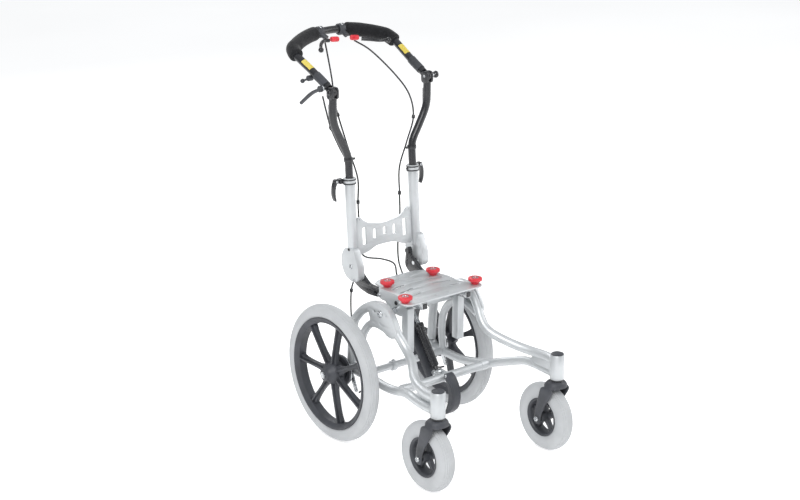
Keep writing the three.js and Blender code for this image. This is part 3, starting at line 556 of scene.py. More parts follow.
def rear_wheel():
    centre = at(WHEEL_X, 0, AXLE_Z)
    tyre = turn(tyre_profile(AXLE_Z, REAR_TYRE, REAR_SEAT, (-13, -8, -3, 3, 8, 13), 1.1), centre, X_AXIS,
            RUBBER, 96)
    settle_pair(tyre, "rear_tyre_moulding", "rear_wheel_", ["rear_tyre_"], angle=30)
    rim = turn([(160.6, -14.3), (163.6, -17.6), (164, -20), (160, -20.4), (156, -18), (151, -15.5),
            (147.5, -12), (147, 0),
                (147.5, 12), (151, 15.5), (156, 18), (160, 20.4), (164, 20), (163.6, 17.6), (160.6,
                        14.3), (160.6, -14.3)],
               centre, X_AXIS, NYLON, 96)
    hub = turn([(8.6, -24), (28, -24), (33, -18), (34, -8), (33, 6), (30, 14), (24, 20), (19.5, 26),
            (18, 32), (15, 34), (8.6, 34), (8.6, -24)],
               centre, X_AXIS, NYLON, 48)
    # Each spoke is a web with a raised rib, wide at the hub, narrow in the middle, wide at the rim.
    web = plate(rounded([(-17, AXLE_Z + 24), (-8, AXLE_Z + 55), (-6.5, AXLE_Z + 90), (-8, AXLE_Z + 125),
            (-15, AXLE_Z + 150),
                         (15, AXLE_Z + 150), (8, AXLE_Z + 125), (6.5, AXLE_Z + 90), (8, AXLE_Z + 55), (17,
                                 AXLE_Z + 24)], 16),
                WHEEL_X - 7, WHEEL_X + 5, "x", NYLON, edge=2)
    rib = plate(rounded([(-2.6, AXLE_Z + 26), (-2.2, AXLE_Z + 148), (2.2, AXLE_Z + 148), (2.6, AXLE_Z + 26)],
            2),
                WHEEL_X + 4, WHEEL_X + 12, "x", NYLON, edge=1.4)
    spoke = join([web, rib])
    spokes = [turned_copy(spoke, centre, "X", SPOKE_TURN + 2 * math.pi * i / SPOKES) for i in range(SPOKES)]
    bpy.data.objects.remove(spoke)
    valve = rod(at(WHEEL_X + 2, 0, AXLE_Z - 149), at(WHEEL_X + 5, 0, AXLE_Z - 128), 2.6, BLACK)
    valve = turned_copy(valve, centre, "X", SPOKE_TURN + math.pi / SPOKES)
    bpy.data.objects.remove(bpy.data.objects[valve.name.rsplit(".", 1)[0]])
    rim = join([rim, hub, *spokes, valve])
    settle_pair(rim, "rear_rim_moulding", "rear_wheel_", ["rear_rim_"])

    inner = FRAME_X - 18
    axle = join([
        turn([(0, inner - WHEEL_X), (7.9, inner - WHEEL_X), (7.9, 36), (7, 38.5), (0, 38.5)], centre, X_AXIS,
                STEEL, 32),
        turn([(7.5, 34.4), (10, 34.4), (10, 37), (7.5, 37), (7.5, 34.4)], centre, X_AXIS, STEEL, 6),
    ])
    settle_pair(axle, "rear_axle_pin", "chassis", ["rear_axle_"])

    start = FRAME_X + ARCH_R + 0.3 - WHEEL_X
    drum = turn([(8.4, start), (20, start), (20, start + 9), (38, start + 9.5), (43, start + 12),
            (44, start + 16),
                 (44, start + 23.5), (8.4, start + 23.5), (8.4, start)], centre, X_AXIS, NYLON, 64)
    plate_rim = turn([(40, start + 14), (45, start + 15), (45, start + 18), (40, start + 18),
            (40, start + 14)], centre, X_AXIS, STEEL, 64)
    settle_pair(join([drum, plate_rim]), "brake_drum_plate", "chassis", ["brake_plate_"])

    cam_y, cam_z, arm_x = -30, AXLE_Z - 12, FRAME_X + ARCH_R + 2.3
    arm = plate(rounded([(cam_y - 7, cam_z + 6), (cam_y + 8, cam_z + 3), (cam_y - 15, cam_z - 45),
            (cam_y - 27, cam_z - 42)], 6),
                arm_x, arm_x + 4, "x", STEEL, [circle(cam_y - 20, cam_z - 38, 2.2)])
    boss = turn([(0, 0), (7.6, 0), (7.6, 6), (5, 7.4), (0, 7.4)], at(arm_x, cam_y, cam_z), X_AXIS, STEEL, 32)
    settle_pair(join([arm, boss]), "brake_cam_arm", "brake_arm_", ["brake_arm_"])


# ------------------------------------------------------------------ casters
def caster():
    x, y, z = CASTER_X, CASTER_Y, CASTER_Z
    centre = at(x, y, z)
    tyre = turn(tyre_profile(CASTER_Z, CASTER_TYRE, CASTER_SEAT, (-15, -10, -5, 0, 5, 10, 15), 1.0), centre,
            X_AXIS, RUBBER, 72)
    settle_pair(tyre, "caster_tyre_moulding", "caster_wheel_", ["caster_tyre_"], angle=30)
    rim = turn([(54.8, -17.6), (56, -19), (53, -19.4), (49, -17), (46.5, -11), (46, 0), (46.5, 11), (49, 17),
            (53, 19.4), (56, 19),
                (54.8, 17.6), (54.8, -17.6)], centre, X_AXIS, NYLON, 64)
    hub = turn([(5.6, -23.5), (11, -23.5), (14, -19), (14, 19), (11, 23.5), (5.6, 23.5), (5.6, -23.5)],
            centre, X_AXIS, NYLON, 40)
    spoke = plate(rounded([(y - 8, z + 10), (y - 5, z + 30), (y - 7, z + 48), (y + 7, z + 48),
            (y + 5, z + 30), (y + 8, z + 10)], 6),
                  x - 6, x + 6, "x", NYLON, edge=1.8)
    spokes = [turned_copy(spoke, centre, "X", 2 * math.pi * i / 5) for i in range(5)]
    bpy.data.objects.remove(spoke)
    settle_pair(join([rim, hub, *spokes]), "caster_rim_moulding", "caster_wheel_", ["caster_rim_"])

    crown = limb([(x, HEAD_Y + 3, 194, 72, 66), (x, HEAD_Y + 4, 203, 74, 70), (x, HEAD_Y + 2, 212, 66, 62),
            (x, HEAD_Y, 221, 46, 46)], NYLON)
    legs = []
    for side in (-1, 1):
        lx = x + side * 32.2
        legs.append(limb([(lx, y, z - 17, 7.6, 18), (lx, y, z - 11, 8.4, 26), (lx, y, z, 8.4, 30),
                (lx, y - 2, z + 18, 8.6, 31),
                          (lx, y - 14, z + 52, 9, 40), (lx, HEAD_Y + 10, z + 82, 9.6, 54), (lx, HEAD_Y + 4,
                                  205, 9.6, 64)], NYLON))
    mould = moulded([crown, *legs], 1.8)
    mouth = block((x - 28, HEAD_Y - 60, 60), (x + 28, y + 90, 201), NYLON, 9)
    mould = cut(mould, mouth)
    boss = turn([(0, 214), (19, 214), (18.4, 219), (17, 222.5), (0, 222.5)], at(x, HEAD_Y, 0), Z_AXIS, BLACK,
            40)
    stem = turn([(0, 215), (12.3, 215), (12.3, 290), (0, 290)], at(x, HEAD_Y, 0), Z_AXIS, STEEL, 32)
    settle_pair(join([mould, boss, stem]), "caster_fork_moulding", "caster_fork_", ["caster_fork_"], angle=60)

    bolts = [screw(at(x + side * 37, y, z), X_AXIS * side, 7.5, height=4) for side in (-1, 1)]
    pin = turn([(0, -38), (4.9, -38), (4.9, 38), (0, 38)], centre, X_AXIS, STEEL, 24)
    settle_pair(join([pin, *bolts]), "caster_axle_bolt", "caster_fork_", ["caster_axle_"])


# ------------------------------------------------------------------ side frames
def side_frame():
    f, z = FRAME_X, AXLE_Z
    upper, lower = 276, 238
    arch = [(f, -6, z + 22), (f, -10, z + 90), (f, -18, z + 142), (f, -38, z + 171), (f, -63, z + 194),
            (f, -94, z + 213),
            (f, -127, z + 225), (f, -160, z + 226), (f, -184, z + 213), (f, -202, z + 190), (f, -215,
                    z + 168),
            (f - 4, -229, z + 149), (f - 5, -248, z + 130), (f, -271, z + 116), (f + 16, -303, z + 102),
            (CASTER_X - 29, -336, z + 88), (CASTER_X - 11, -376, upper + 4), (CASTER_X, HEAD_Y + 52,
                    upper + 1.5),
            (CASTER_X, HEAD_Y + 15, upper)]
    keel = [(f, -12, z - 1), (f, -60, z - 3), (f, -124, z - 5), (f + 5, -159, z - 4), (f + 12, -197, z + 1),
            (f + 16, -233, z + 7),
            (f + 32, -284, z + 24), (CASTER_X - 10, -343, lower + 2.5), (CASTER_X - 2, -377, lower + 3),
            (CASTER_X, HEAD_Y + 62, lower + 1), (CASTER_X, HEAD_Y + 15, lower)]
    inner = [(f, -60, z), (f, -52, z + 62), (f, -60, z + 115), (f, -90, z + 156), (f, -132, z + 175),
            (f, -172, z + 172), (f, -206, z + 158)]
    parts = [tube(smooth([at(*p) for p in path]), radius, SILVER, 7)
             for path, radius in ((arch, ARCH_R), (keel, 12.5), (inner, 11))]
    web = [(-92, 426), (-124, 438), (-162, 439), (-190, 431), (-211, 405), (-228, 375), (-212, 352),
            (-190, 352), (-170, 362),
           (-135, 365), (-106, 358), (-98, 370), (-112, 380)]
    holes = [circle(-130, z + 179, 3.4), circle(-156, z + 180, 3.4), circle(-130, 411, 3.4),
            circle(-181, 412, 3.4)]
    parts.append(plate(rounded(web, 9), f + 3.5, f + ARCH_R, "x", SILVER, holes, 1.2))
    gusset = [(-395, upper + 4), (HEAD_Y + 18, upper), (HEAD_Y + 18, lower), (-360, lower + 3)]
    parts.append(plate(rounded(gusset, 3), CASTER_X - 10, CASTER_X - 4, "x", SILVER, edge=0.8))
    parts.append(turn([(8.5, -11), (20, -11), (22, -8), (22, 10), (20, 12.8), (8.5, 12.8), (8.5, -11)],
            at(f, 0, z), X_AXIS, SILVER, 40))
    head = at(CASTER_X, HEAD_Y, 0)
    parts.append(turn([(13.2, 224), (18.6, 224), (20, 225.5), (20, 295), (18.6, 296.8), (13.2, 296.8),
            (13.2, 224)], head, Z_AXIS, SILVER, 56))
    # Weld beads where the tubes meet the head tube.
    for height in (upper, lower):
        parts.append(tube([at(CASTER_X + 12.2 * math.cos(a), HEAD_Y + 19.4, height + 12.6 * math.sin(a))
                           for a in [2 * math.pi * k / 24 for k in range(25)]], 1.4, SILVER, 2))
    settle_pair(join(parts), "side_frame_tubes", "chassis", ["side_frame_"], angle=50)
    cap = turn([(0, 290), (13, 290), (13, 297), (17.6, 297), (17.4, 299), (13, 301), (6, 302), (0, 302)],
            head, Z_AXIS, NYLON, 40)
    settle_pair(cap, "head_tube_cap", "chassis")
    seal = turn([(13.6, 220.2), (18.4, 220.2), (18.8, 222), (18.4, 223.8), (13.6, 223.8), (13.6, 220.2)],
            head, Z_AXIS, BLACK, 40)
    settle_pair(seal, "head_seal_ring", "chassis")


def cross_members():
    y, z, reach = -242, AXLE_Z + 10, FRAME_X + 10
    foot_y, foot_z = -212, AXLE_Z + 14
    centre = at(0, y, z)
    front = [turn([(0, -reach), (12.4, -reach), (12.4, reach), (0, reach)], centre, X_AXIS, SILVER, 40)]
    for side in (-1, 1):
        front.append(turn([(12, reach - 26), (14, reach - 25), (14, reach - 6), (12, reach - 5),
                (12, reach - 26)],
                          centre, X_AXIS * side, SILVER, 40))
        lug = rounded([(y, z - 9), (foot_y + 4, foot_z - 10), (foot_y + 11, foot_z),
                (foot_y + 4, foot_z + 10), (y, z + 11)], 4)
        low, high = (9.5, 14) if side > 0 else (-14, -9.5)
        front.append(plate(lug, low, high, "x", SILVER))
        front.append(screw(at(side * 14, foot_y, foot_z), X_AXIS * side, 6.5))
    front.append(rod(at(-14, foot_y, foot_z), at(14, foot_y, foot_z), 4.1, STEEL))
    settle(join(front), "front_cross_member", "chassis", ["front_cross_tube"])

    rear = [rod(at(-FRAME_X + 10, -60, AXLE_Z - 2), at(FRAME_X - 10, -60, AXLE_Z - 2), 10.4, SILVER, 8)]
    # Cable clamp on the rear tube.
    clamp = at(-40, -60, AXLE_Z - 2)
    rear.append(turn([(10, -7), (14.5, -7), (15, -5), (15, 5), (14.5, 7), (10, 7), (10, -7)], clamp, X_AXIS,
            SILVER, 32))
    rear.append(screw(at(-40, -60, AXLE_Z + 13), Z_AXIS, 5))
    settle(join(rear), "rear_cross_member", "chassis", ["rear_cross_tube"])

    skid = rounded([(y - 13.5, z + 20), (y - 34, z + 12), (y - 51, z - 10), (y - 59, z - 44),
            (y - 50, z - 80), (y - 21, z - 106),
                    (y - 18, z - 98), (y - 31, z - 66), (y - 33, z - 35), (y - 24, z - 8), (y - 13.5,
                            z + 6)], 14, 6)
    bumper = plate(skid, -12.4, 12.4, "x", NYLON, edge=3.2)
    rib = plate(rounded([(y - 30, z), (y - 46, z - 18), (y - 52, z - 46), (y - 44, z - 76), (y - 40, z - 74),
            (y - 46, z - 46), (y - 41, z - 20), (y - 27, z - 4)], 5),
                -12.9, 12.9, "x", NYLON, edge=1)
    bolts = [screw(at(side * 12.3, y - 20, z + 12), X_AXIS * side, 5) for side in (-1, 1)]
    settle(join([bumper, rib, *bolts]), "kerb_skid_moulding", "chassis", ["kerb_skid"])

    reach = FRAME_X + ARCH_R
    pivot = at(0, TILT_Y, TILT_Z)
    axle = [turn([(0, -reach - 3), (6.9, -reach - 3), (6.9, reach + 3), (0, reach + 3)], pivot, X_AXIS,
            STEEL, 32)]
    axle += [screw(at(side * (reach + 0.5), TILT_Y, TILT_Z), X_AXIS * side, 10.5, height=5) for side in (-1,
            1)]
    settle(join(axle), "tilt_pivot_axle", "chassis", ["tilt_axle"])


# ------------------------------------------------------------------ seat carrier
KNOBS = {"rear": (83, -89), "front": (126, -223)}


def both_ways(half):
    return [*half, *[(-x, y) for x, y in reversed(half)]]


def seat_carrier():
    top, foot, half = SEAT_TOP, SEAT_TOP - 4, 107
    outline = both_ways([(60, -26), (90, -38), (96, -70), (half, -80), (half, -172), (118, -198),
            (140, -209), (140, -237), (126, -250), (60, -248)])
    lean, holes = math.radians(-13), []
    for side in (-1, 1):
        for y in (-112, -150, -188):
            corners = []
            for u, v in ((-28, -4), (28, -4), (28, 4), (-28, 4)):
                corners.append((side * (64 + u * math.cos(lean) - v * math.sin(lean)),
                        y + u * math.sin(lean) + v * math.cos(lean)))
            holes.append(rounded(corners, 3.9))
        holes += [circle(side * x, y, 4.5) for x, y in KNOBS.values()]
        holes += [circle(side * 22, y, 2.6, 14) for y in (-60, -230)]
    sheet = plate(rounded(outline, 10), foot, top, "z", SILVER, holes, 1.1)
    parts = [sheet]
    for side in (-1, 1):
        low, high = (half - 4, half) if side > 0 else (-half, 4 - half)
        flange = [(-82, foot + 1), (-82, top - 28), (-92, top - 32), (-160, top - 32), (-170, top - 24),
                (-170, foot + 1)]
        parts.append(plate(rounded(flange, 4), low, high, "x", SILVER, edge=0.9))
        # The fold between plate and flange.
        parts.append(rod(at(side * (half - 3), -171, top - 3), at(side * (half - 3), -81, top - 3), 3,
                SILVER))
    settle(join(parts), "seat_plate_sheet", "seat", ["seat_plate"])
    bolts = []
    for side in (-1, 1):
        bolts.append(screw(at(side * half, -83, 434), X_AXIS * side, 6))
        bolts.append(screw(at(side * half, -159, 431), X_AXIS * side, 6.5, BLACK))
    settle(join(bolts), "flange_bolts", "seat")

    z = foot - 0.3
    tube_box = block((68.5, -250, z - 20), (88.5, -97, z), STEEL, 1.5)
    rail = cut(tube_box, block((70.5, -260, z - 18), (86.5, -90, z - 2), STEEL, 1))
    settle_pair(rail, "seat_rail_tube", "seat", ["seat_rail_"])
    plug = block((70.7, -251.5, z - 17.8), (86.3, -240, z - 2.2), BLACK, 1.2)
    settle_pair(plug, "rail_end_plug", "seat")

    for where, (x, y) in KNOBS.items():
        base = at(x, y, top + 0.3)
        rim = [Vector((x + (19.4 + 0.6 * math.cos(20 * a)) * math.cos(a),
                y + (19.4 + 0.6 * math.cos(20 * a)) * math.sin(a)))
               for a in [2 * math.pi * k / 160 for k in range(160)]]
        grip = plate(rim, top + 10.5, top + 18, "z", RED, edge=0.9)
        cone = turn([(0, 0), (10.5, 0), (11, 1), (14, 6), (17.5, 10.5), (17.5, 13), (0, 13)], base, Z_AXIS,
                RED, 48)
        dome = turn([(0, 17), (17.6, 17), (15.5, 18.6), (11.5, 18.9), (10.5, 17.8), (0, 17.8)], base, Z_AXIS,
                RED, 48)
        inset = turn([(0, 17), (9.6, 17), (9.4, 18.4), (5.2, 18.6), (4.6, 17.4), (0, 17.4)], base, Z_AXIS,
                STEEL, 32)
        stud = turn([(0, -4), (3.9, -4), (3.9, 1), (0, 1)], base, Z_AXIS, STEEL, 24)
        settle_pair(join([grip, cone, dome, inset, stud]), f"lock_knob_{where}_moulding", f"knob_{where}_",
                [f"lock_knob_{where}_"])

    half = 102.7
    rail_foot = foot - 0.3 - 20.3
    pivot_z = TILT_Z
    parts = [turn([(7.5, -half + 2), (12.8, -half + 2), (12.8, half - 2), (7.5, half - 2), (7.5, -half + 2)],
            at(0, TILT_Y, pivot_z), X_AXIS, SILVER, 40),
             block((-half + 1, -195, rail_foot - 7), (half - 1, -140, rail_foot), SILVER, 1)]
    top_y, top_z = -80, AXLE_Z + 197
    for side in (-1, 1):
        low, high = (half - 5, half) if side > 0 else (-half, 5 - half)
        cheek = [(-190, rail_foot - 8), (-190, foot - 2.3), (-99, foot - 2.3), (-99, rail_foot - 4),
                (-130, pivot_z - 16), (-180, pivot_z - 16)]
        parts.append(plate(rounded(cheek, 7), low, high, "x", SILVER))
        leg_low, leg_high = (half - 24, half) if side > 0 else (-half, 24 - half)
        parts.append(block((leg_low, -205, AXLE_Z + 92), (leg_high, -179, rail_foot - 6), SILVER, 3))
        lug = [(TILT_Y - 8, pivot_z - 12), (TILT_Y - 8, pivot_z + 13), (top_y + 4, top_z + 11),
                (top_y + 11, top_z), (top_y + 4, top_z - 11)]
        low, high = (9.5, 14) if side > 0 else (-14, -9.5)
        parts.append(plate(rounded(lug, 5), low, high, "x", SILVER))
        parts.append(screw(at(side * 14, top_y, top_z), X_AXIS * side, 6))
    parts.append(rod(at(-14, top_y, top_z), at(14, top_y, top_z), 4.1, STEEL))
    settle(join(parts), "tilt_bracket_weldment", "seat", ["tilt_bracket"])

    outer = 102.7
    outline = [(-95, 428), (-60, 422), (-24, 420), (10, 426), (36, 436), (48, 450), (46, 470), (43, 490),
            (41, 503), (31, 507), (23, 499),
               (24, 481), (14, 475), (-2, 462), (-24, 448), (-95, 448)]
    slot = rounded([(-78, 431), (-52, 431), (-52, 438), (-78, 438)], 3)
    arm = plate(rounded(outline, 8), outer - 13, outer, "x", BLACK, [slot, circle(BACK_Y, BACK_Z, 6.6)], 2)
    arm = cut(arm, block((outer - 4.5, 0, AXLE_Z + 274), (outer + 5, 60, AXLE_Z + 320), BLACK, 0.5))
    knob = turn([(0, -12), (8, -12), (9, -10), (9, -1), (7, 1), (0, 1)], at(outer - 7, 32.5, 495), X_AXIS,
            BLACK, 32)
    settle_pair(join([arm, knob]), "back_arm_forging", "seat", ["back_arm_"])


# ------------------------------------------------------------------ gas spring
FOOT = (-212, AXLE_Z + 14)
EYE = (-80, AXLE_Z + 197)


def gas_spring():
    foot, eye = at(0, *FOOT), at(0, *EYE)
    along = (eye - foot).normalized()
    span = (eye - foot).length / MM
    eyelet = lambda place, r: turn([(4.6, -8.5), (r, -8.5), (r + 0.5, -7), (r + 0.5, 7), (r, 8.5),
            (4.6, 8.5), (4.6, -8.5)], place, X_AXIS, STEEL, 32)
    body = turn([(0, 8), (6.8, 8), (6.8, 18), (10, 19), (12, 22), (12, 134), (12.4, 136), (14.5, 138),
            (14.5, 148), (12, 150), (6.7, 150),
                 (6.7, 60), (0, 60)], foot, along, BLACK, 40)
    settle(join([body, eyelet(foot, 9.5)]), "gas_spring_barrel", "gas_spring_body", ["gas_spring_cylinder"])
    rod_end = turn([(0, 106), (5.9, 106), (5.9, span - 27), (8, span - 26), (9, span - 24), (9, span - 9),
            (7, span - 8), (0, span - 8)], foot, along, STEEL, 32)
    eye_ring = turn([(7.7, -8.4), (11.2, -8.4), (11.6, -7), (11.6, 7), (11.2, 8.4), (7.7, 8.4), (7.7, -8.4)],
            eye, X_AXIS, STEEL, 32)
    settle(join([rod_end, eye_ring]), "gas_spring_piston_rod", "gas_spring_rod", ["gas_spring_rod"])

    def spot(s, off):
        return (FOOT[0] + along.y * s + along.z * off, FOOT[1] + along.z * s - along.y * off)

    parts = [plate(rounded([spot(-4, 16), spot(178, 16), spot(178, 30), spot(-4, 30)], 4), -20.8, 20.8, "x",
            NYLON, edge=1.6)]
    for i in range(14):
        s = 8 + 12.2 * i
        parts.append(plate(rounded([spot(s, 28), spot(s + 6.6, 28), spot(s + 6.6, 34.6), spot(s, 34.6)], 2),
                -19, 19, "x", NYLON, edge=1))
    settle(join(parts), "ribbed_strut_guard", "gas_spring_rod", ["strut_cover"])


# ------------------------------------------------------------------ backrest
LEAN = Vector(JOINTS["handle_height"]["axis"])
POST_FOOT_RISE, POST_TOP_RISE = 312, 548


def on_post(rise, x=POST_X):
    return at(x, 27 + 16 * (rise - POST_FOOT_RISE) / (POST_TOP_RISE - POST_FOOT_RISE), AXLE_Z + rise)


def backrest():
    span = (on_post(POST_TOP_RISE) - on_post(POST_FOOT_RISE)).length / MM
    post = turn([(12, 36), (12, span), (14.2, span), (14.5, span - 1), (14.5, 1), (13.5, 0), (0, 0), (0, 36),
            (12, 36)], on_post(POST_FOOT_RISE), LEAN, SILVER, 48)
    base = [(2, 332), (-12, 300), (-14, 264), (2, 252), (16, 251), (40, 257), (56, 272), (64, 292),
            (66, 314), (58, 332), (46, 346), (10, 348)]
    base = [(y, z + AXLE_Z) for y, z in base]
    shell = plate(rounded(base, 12), 105.7, 128, "x", SILVER, edge=3)
    teeth = [rod(at(106, 66.2, AXLE_Z + z), at(126, 66.2, AXLE_Z + z), 1.1, BLACK, 2) for z in range(288,
            316, 5)]
    pin = turn([(0, 89.7), (5.9, 89.7), (5.9, 108), (0, 108)], at(0, BACK_Y, BACK_Z), X_AXIS, STEEL, 32)
    bolts = [screw(at(127.6, 29, 543), X_AXIS, 4.5, BLACK, 2.6), screw(at(127.6, 20, 495), X_AXIS, 7),
            screw(at(127.6, 6, 458), X_AXIS, 4, height=2.6)]
    settle_pair(join([post, shell, pin, *bolts, *teeth]), "back_post_tube", "backrest", ["back_post_"],
            angle=45)

    edge, low = POST_X - POST_R - 0.3, 320
    top = both_ways([(edge, low), (edge, low + 80), (edge - 4, low + 108), (edge - 14, low + 111),
            (edge - 24, low + 98), (edge - 46, low + 86), (12, low + 78)])
    outline = [*top, (-edge + 36, low + 4), (-30, low + 18), (30, low + 18), (edge - 36, low + 4)]
    slots = []
    half = ((35.3, 12, 38, 68), (72.6, 14, 26, 78))
    for x, w, a, b in ((0, 12, 44, 67), *half, *[(-x, *rest) for x, *rest in half]):
        slots.append(rounded([(x - w / 2, low + a), (x + w / 2, low + a), (x + w / 2, low + b),
                (x - w / 2, low + b)], 5))
    slots += [circle(side * 88, low + 103, 2, 14) for side in (-1, 1)]
    bar = plate(rounded(outline, 12), -3, 3, "y", SILVER, slots, 1)
    foot = on_post(low, 0)
    angle = math.atan2(LEAN.y, LEAN.z)
    bar.matrix_world = Matrix.Translation(foot) @ Matrix.Rotation(-angle, 4,
            "X") @ Matrix.Translation(-at(0, 0, low))
    settle(bar, "slotted_crossbar", "backrest", ["back_crossbar"])

    # Height clamps: a split silver collar with two black rings, and its lever.
    collar_at = on_post(540)
    cy, cz = (collar_at.y - AXLE.y) / MM, collar_at.z / MM
    sleeve = turn([(14.8, -11), (17.4, -11), (17.4, 8), (14.8, 8), (14.8, -11)], collar_at, LEAN, SILVER, 48)
    rings = [turn([(15, h), (19, h), (19.2, h + 1), (19, h + 3.4), (15, h + 3.4), (15, h)], collar_at, LEAN,
            BLACK, 48) for h in (-9, 2)]
    ear = block((128, cy + 6, cz - 8), (142, cy + 24, cz + 6), BLACK, 2)
    nut = screw(at(POST_X - 16, cy + 2, cz - 2), -X_AXIS, 4.5, BLACK, 5)
    settle_pair(join([sleeve, *rings, ear, nut]), "height_clamp_collar", "backrest", ["clamp_collar_"])
    lx = 150.5
    hub = turn([(0, 7.5), (6, 7.5), (7, 9), (7, 21), (6, 22.5), (0, 22.5)], at(lx, cy, cz), Y_AXIS, BLACK, 32)
    blade = [(lx - 4, cz), (lx + 6, cz + 3), (lx + 12, cz - 16), (lx + 12, cz - 40), (lx + 5, cz - 58),
            (lx + 1, cz - 56), (lx + 5, cz - 38), (lx + 4, cz - 16)]
    lever = plate(rounded(blade, 9, 7), cy + 9, cy + 21, "y", BLACK, edge=2.2)
    cap = screw(at(lx, cy + 8, cz), -Y_AXIS, 4, STEEL, 3)
    settle_pair(join([hub, lever, cap]), "clamp_cam_lever", "clamp_lever_", ["clamp_lever_"])


# ------------------------------------------------------------------ uprights and handle
def uprights():
    s, jy, jz = UPRIGHT_X, HINGE_Y, HINGE_Z
    path = [on_post(400), on_post(488), on_post(552), at(POST_X + 0.5, jy + 2.5, jz - 204),
            at(POST_X + 6, jy + 4, jz - 178),
            at(POST_X + 27, jy + 3, jz - 138), at(s - 7, jy + 1.5, jz - 98), at(s - 0.5, jy + 0.5,
                    jz - 70), at(s, jy, jz - 40), at(s, jy, jz - 14)]
    parts = [tube(smooth(path, 10), TUBE_R, BLACK, 8)]
    cheek = rounded([(jy - 14, jz - 20), (jy + 14, jz - 20), (jy + 14, jz + 14), (jy - 14, jz + 14)], 11)
    parts += [plate(cheek, s + 5, s + 11, "x", BLACK, edge=1.2),
            plate(cheek, s - 11, s - 5, "x", BLACK, edge=1.2)]
    parts[0] = cut(parts[0], block((s - 5, jy - 30, jz - 14.8), (s + 5, jy + 30, jz + 20), BLACK, 0.4))
    parts.append(rod(at(s - 11, jy, jz), at(s + 11, jy, jz), 4.4, STEEL))
    # Flat guide strip on the rear of the tube and a stud for the cables.
    parts.append(block((s - 6, jy + 10, jz - 92), (s + 6, jy + 14, jz - 36), BLACK, 1.4))
    parts.append(turn([(11, -5), (13, -5), (13.4, -3), (13.4, 3), (13, 5), (11, 5), (11, -5)], on_post(600),
            LEAN, BLACK, 32))
    parts.append(rod(at(POST_X - 11, 46, 800), at(POST_X - 21, 46, 800), 3.4, BLACK))
    left = join(parts)
    settle_pair(left, "upright_tube", "uprights", ["upright_"], angle=50)
    hinge = at(s + 11, jy, jz)
    neck = turn([(0, 0), (6, 0), (6.4, 1.5), (5, 4), (5, 15), (0, 15)], hinge, X_AXIS, STEEL, 32)
    ball = turn([(0, 13), (6, 13), (9.5, 16), (10.5, 20), (9.5, 24), (6, 26.5), (0, 27)], hinge, X_AXIS,
            BLACK, 40)
    settle(join([neck, ball]), "angle_lock_knob", "uprights")
    near = screw(at(-s - 11, jy, jz), -X_AXIS, 8, BLACK, 5)
    settle(near, "angle_pivot_cap", "uprights")


def bow_v(x):
    return 6 + math.sqrt(260**2 - x**2)


ARM_X = 173
CORNER = bow_v(ARM_X)
HALF_HANDLE = [(UPRIGHT_X, 17), (UPRIGHT_X + 0.5, 60), (UPRIGHT_X + 3, 110), (ARM_X, CORNER - 45),
        (ARM_X + 0.5, CORNER - 22),
               *[(x, bow_v(x)) for x in (165, 145, 120, 90, 60, 30, 0)]]
HANDLE_LINE = smooth([on_handle(x, v) for x, v in [*HALF_HANDLE,
        *[(-x, v) for x, v in HALF_HANDLE[-2::-1]]]], 12)


def push_handle():
    s, jy, jz = UPRIGHT_X, HINGE_Y, HINGE_Z
    parts = [tube(HANDLE_LINE, TUBE_R, BLACK, 8)]
    for side in (-1, 1):
        parts.append(turn([(5, -4.6), (13, -4.6), (14, -3.6), (14, 3.6), (13, 4.6), (5, 4.6), (5, -4.6)],
                at(side * s, jy, jz), X_AXIS, BLACK, 48))
        parts.append(rod(on_handle(side * s, 9), on_handle(side * s, 22), 4.6, BLACK))
    parts.append(rod(on_handle(-s - 8, 24), on_handle(-s - 19, 22), 6, BLACK))
    parts.append(screw(on_handle(-s - 19, 22), -X_AXIS, 7.5))
    settle(join(parts), "bow_handle_tube", "handle", ["handlebar"], angle=50)

    half, grip_inner = length_of(HANDLE_LINE) / 2, 52
    for side in ("left", "right"):
        line = HANDLE_LINE if side == "left" else HANDLE_LINE[::-1]
        run = stretch(line, CORNER - 44, half - grip_inner)
        ends = [0.86, 0.95, 0.99]
        from_end = [min(i, len(run) - 1 - i) for i in range(len(run))]
        radii = [ends[i] if i < len(ends) else 1.0 for i in from_end]
        sleeve = tube(run, FOAM_R, FOAM, 9, radii)
        modify(sleeve, "SUBSURF", levels=1, render_levels=1)
        dents = bpy.data.textures.new("foam_dents", "CLOUDS")
        dents.noise_scale = 0.03
        modify(sleeve, "DISPLACE", texture=dents, strength=1.1 * MM, mid_level=0.5, texture_coords="LOCAL")
        settle(sleeve, f"foam_sleeve_{side}", "handle", [f"grip_{side}"], angle=60)
        # A ribbed rubber pad and a plain yellow label on each arm.
        pad = tube(stretch(line, 14, 66), TUBE_R + 1.6, NYLON, 8)
        settle(pad, f"arm_pad_{side}", "handle")
        label = tube(stretch(line, 84, 126), TUBE_R + 0.4, YELLOW, 8)
        edit()
        bpy.ops.mesh.bisect(plane_co=on_handle(0, 0, 5), plane_no=(0, -math.sin(SLOPE), math.cos(SLOPE)),
                clear_inner=True, use_fill=True)
        bpy.ops.object.mode_set(mode="OBJECT")
        settle(label, f"arm_label_{side}", "handle")


LEVERS = {
    "right": {"clamp": -38, "nose": -30, "catch": (-11, 222),
            "blade": [(-32, 220, 0), (-50, 221, 0), (-68, 208, 0), (-84, 184, 0)]},
    "left": {"clamp": 38, "nose": 40, "catch": (56, 216),
            "blade": [(74, 206, 0), (95, 192, 4), (119, 178, 7), (136, 161, 18)]},
}


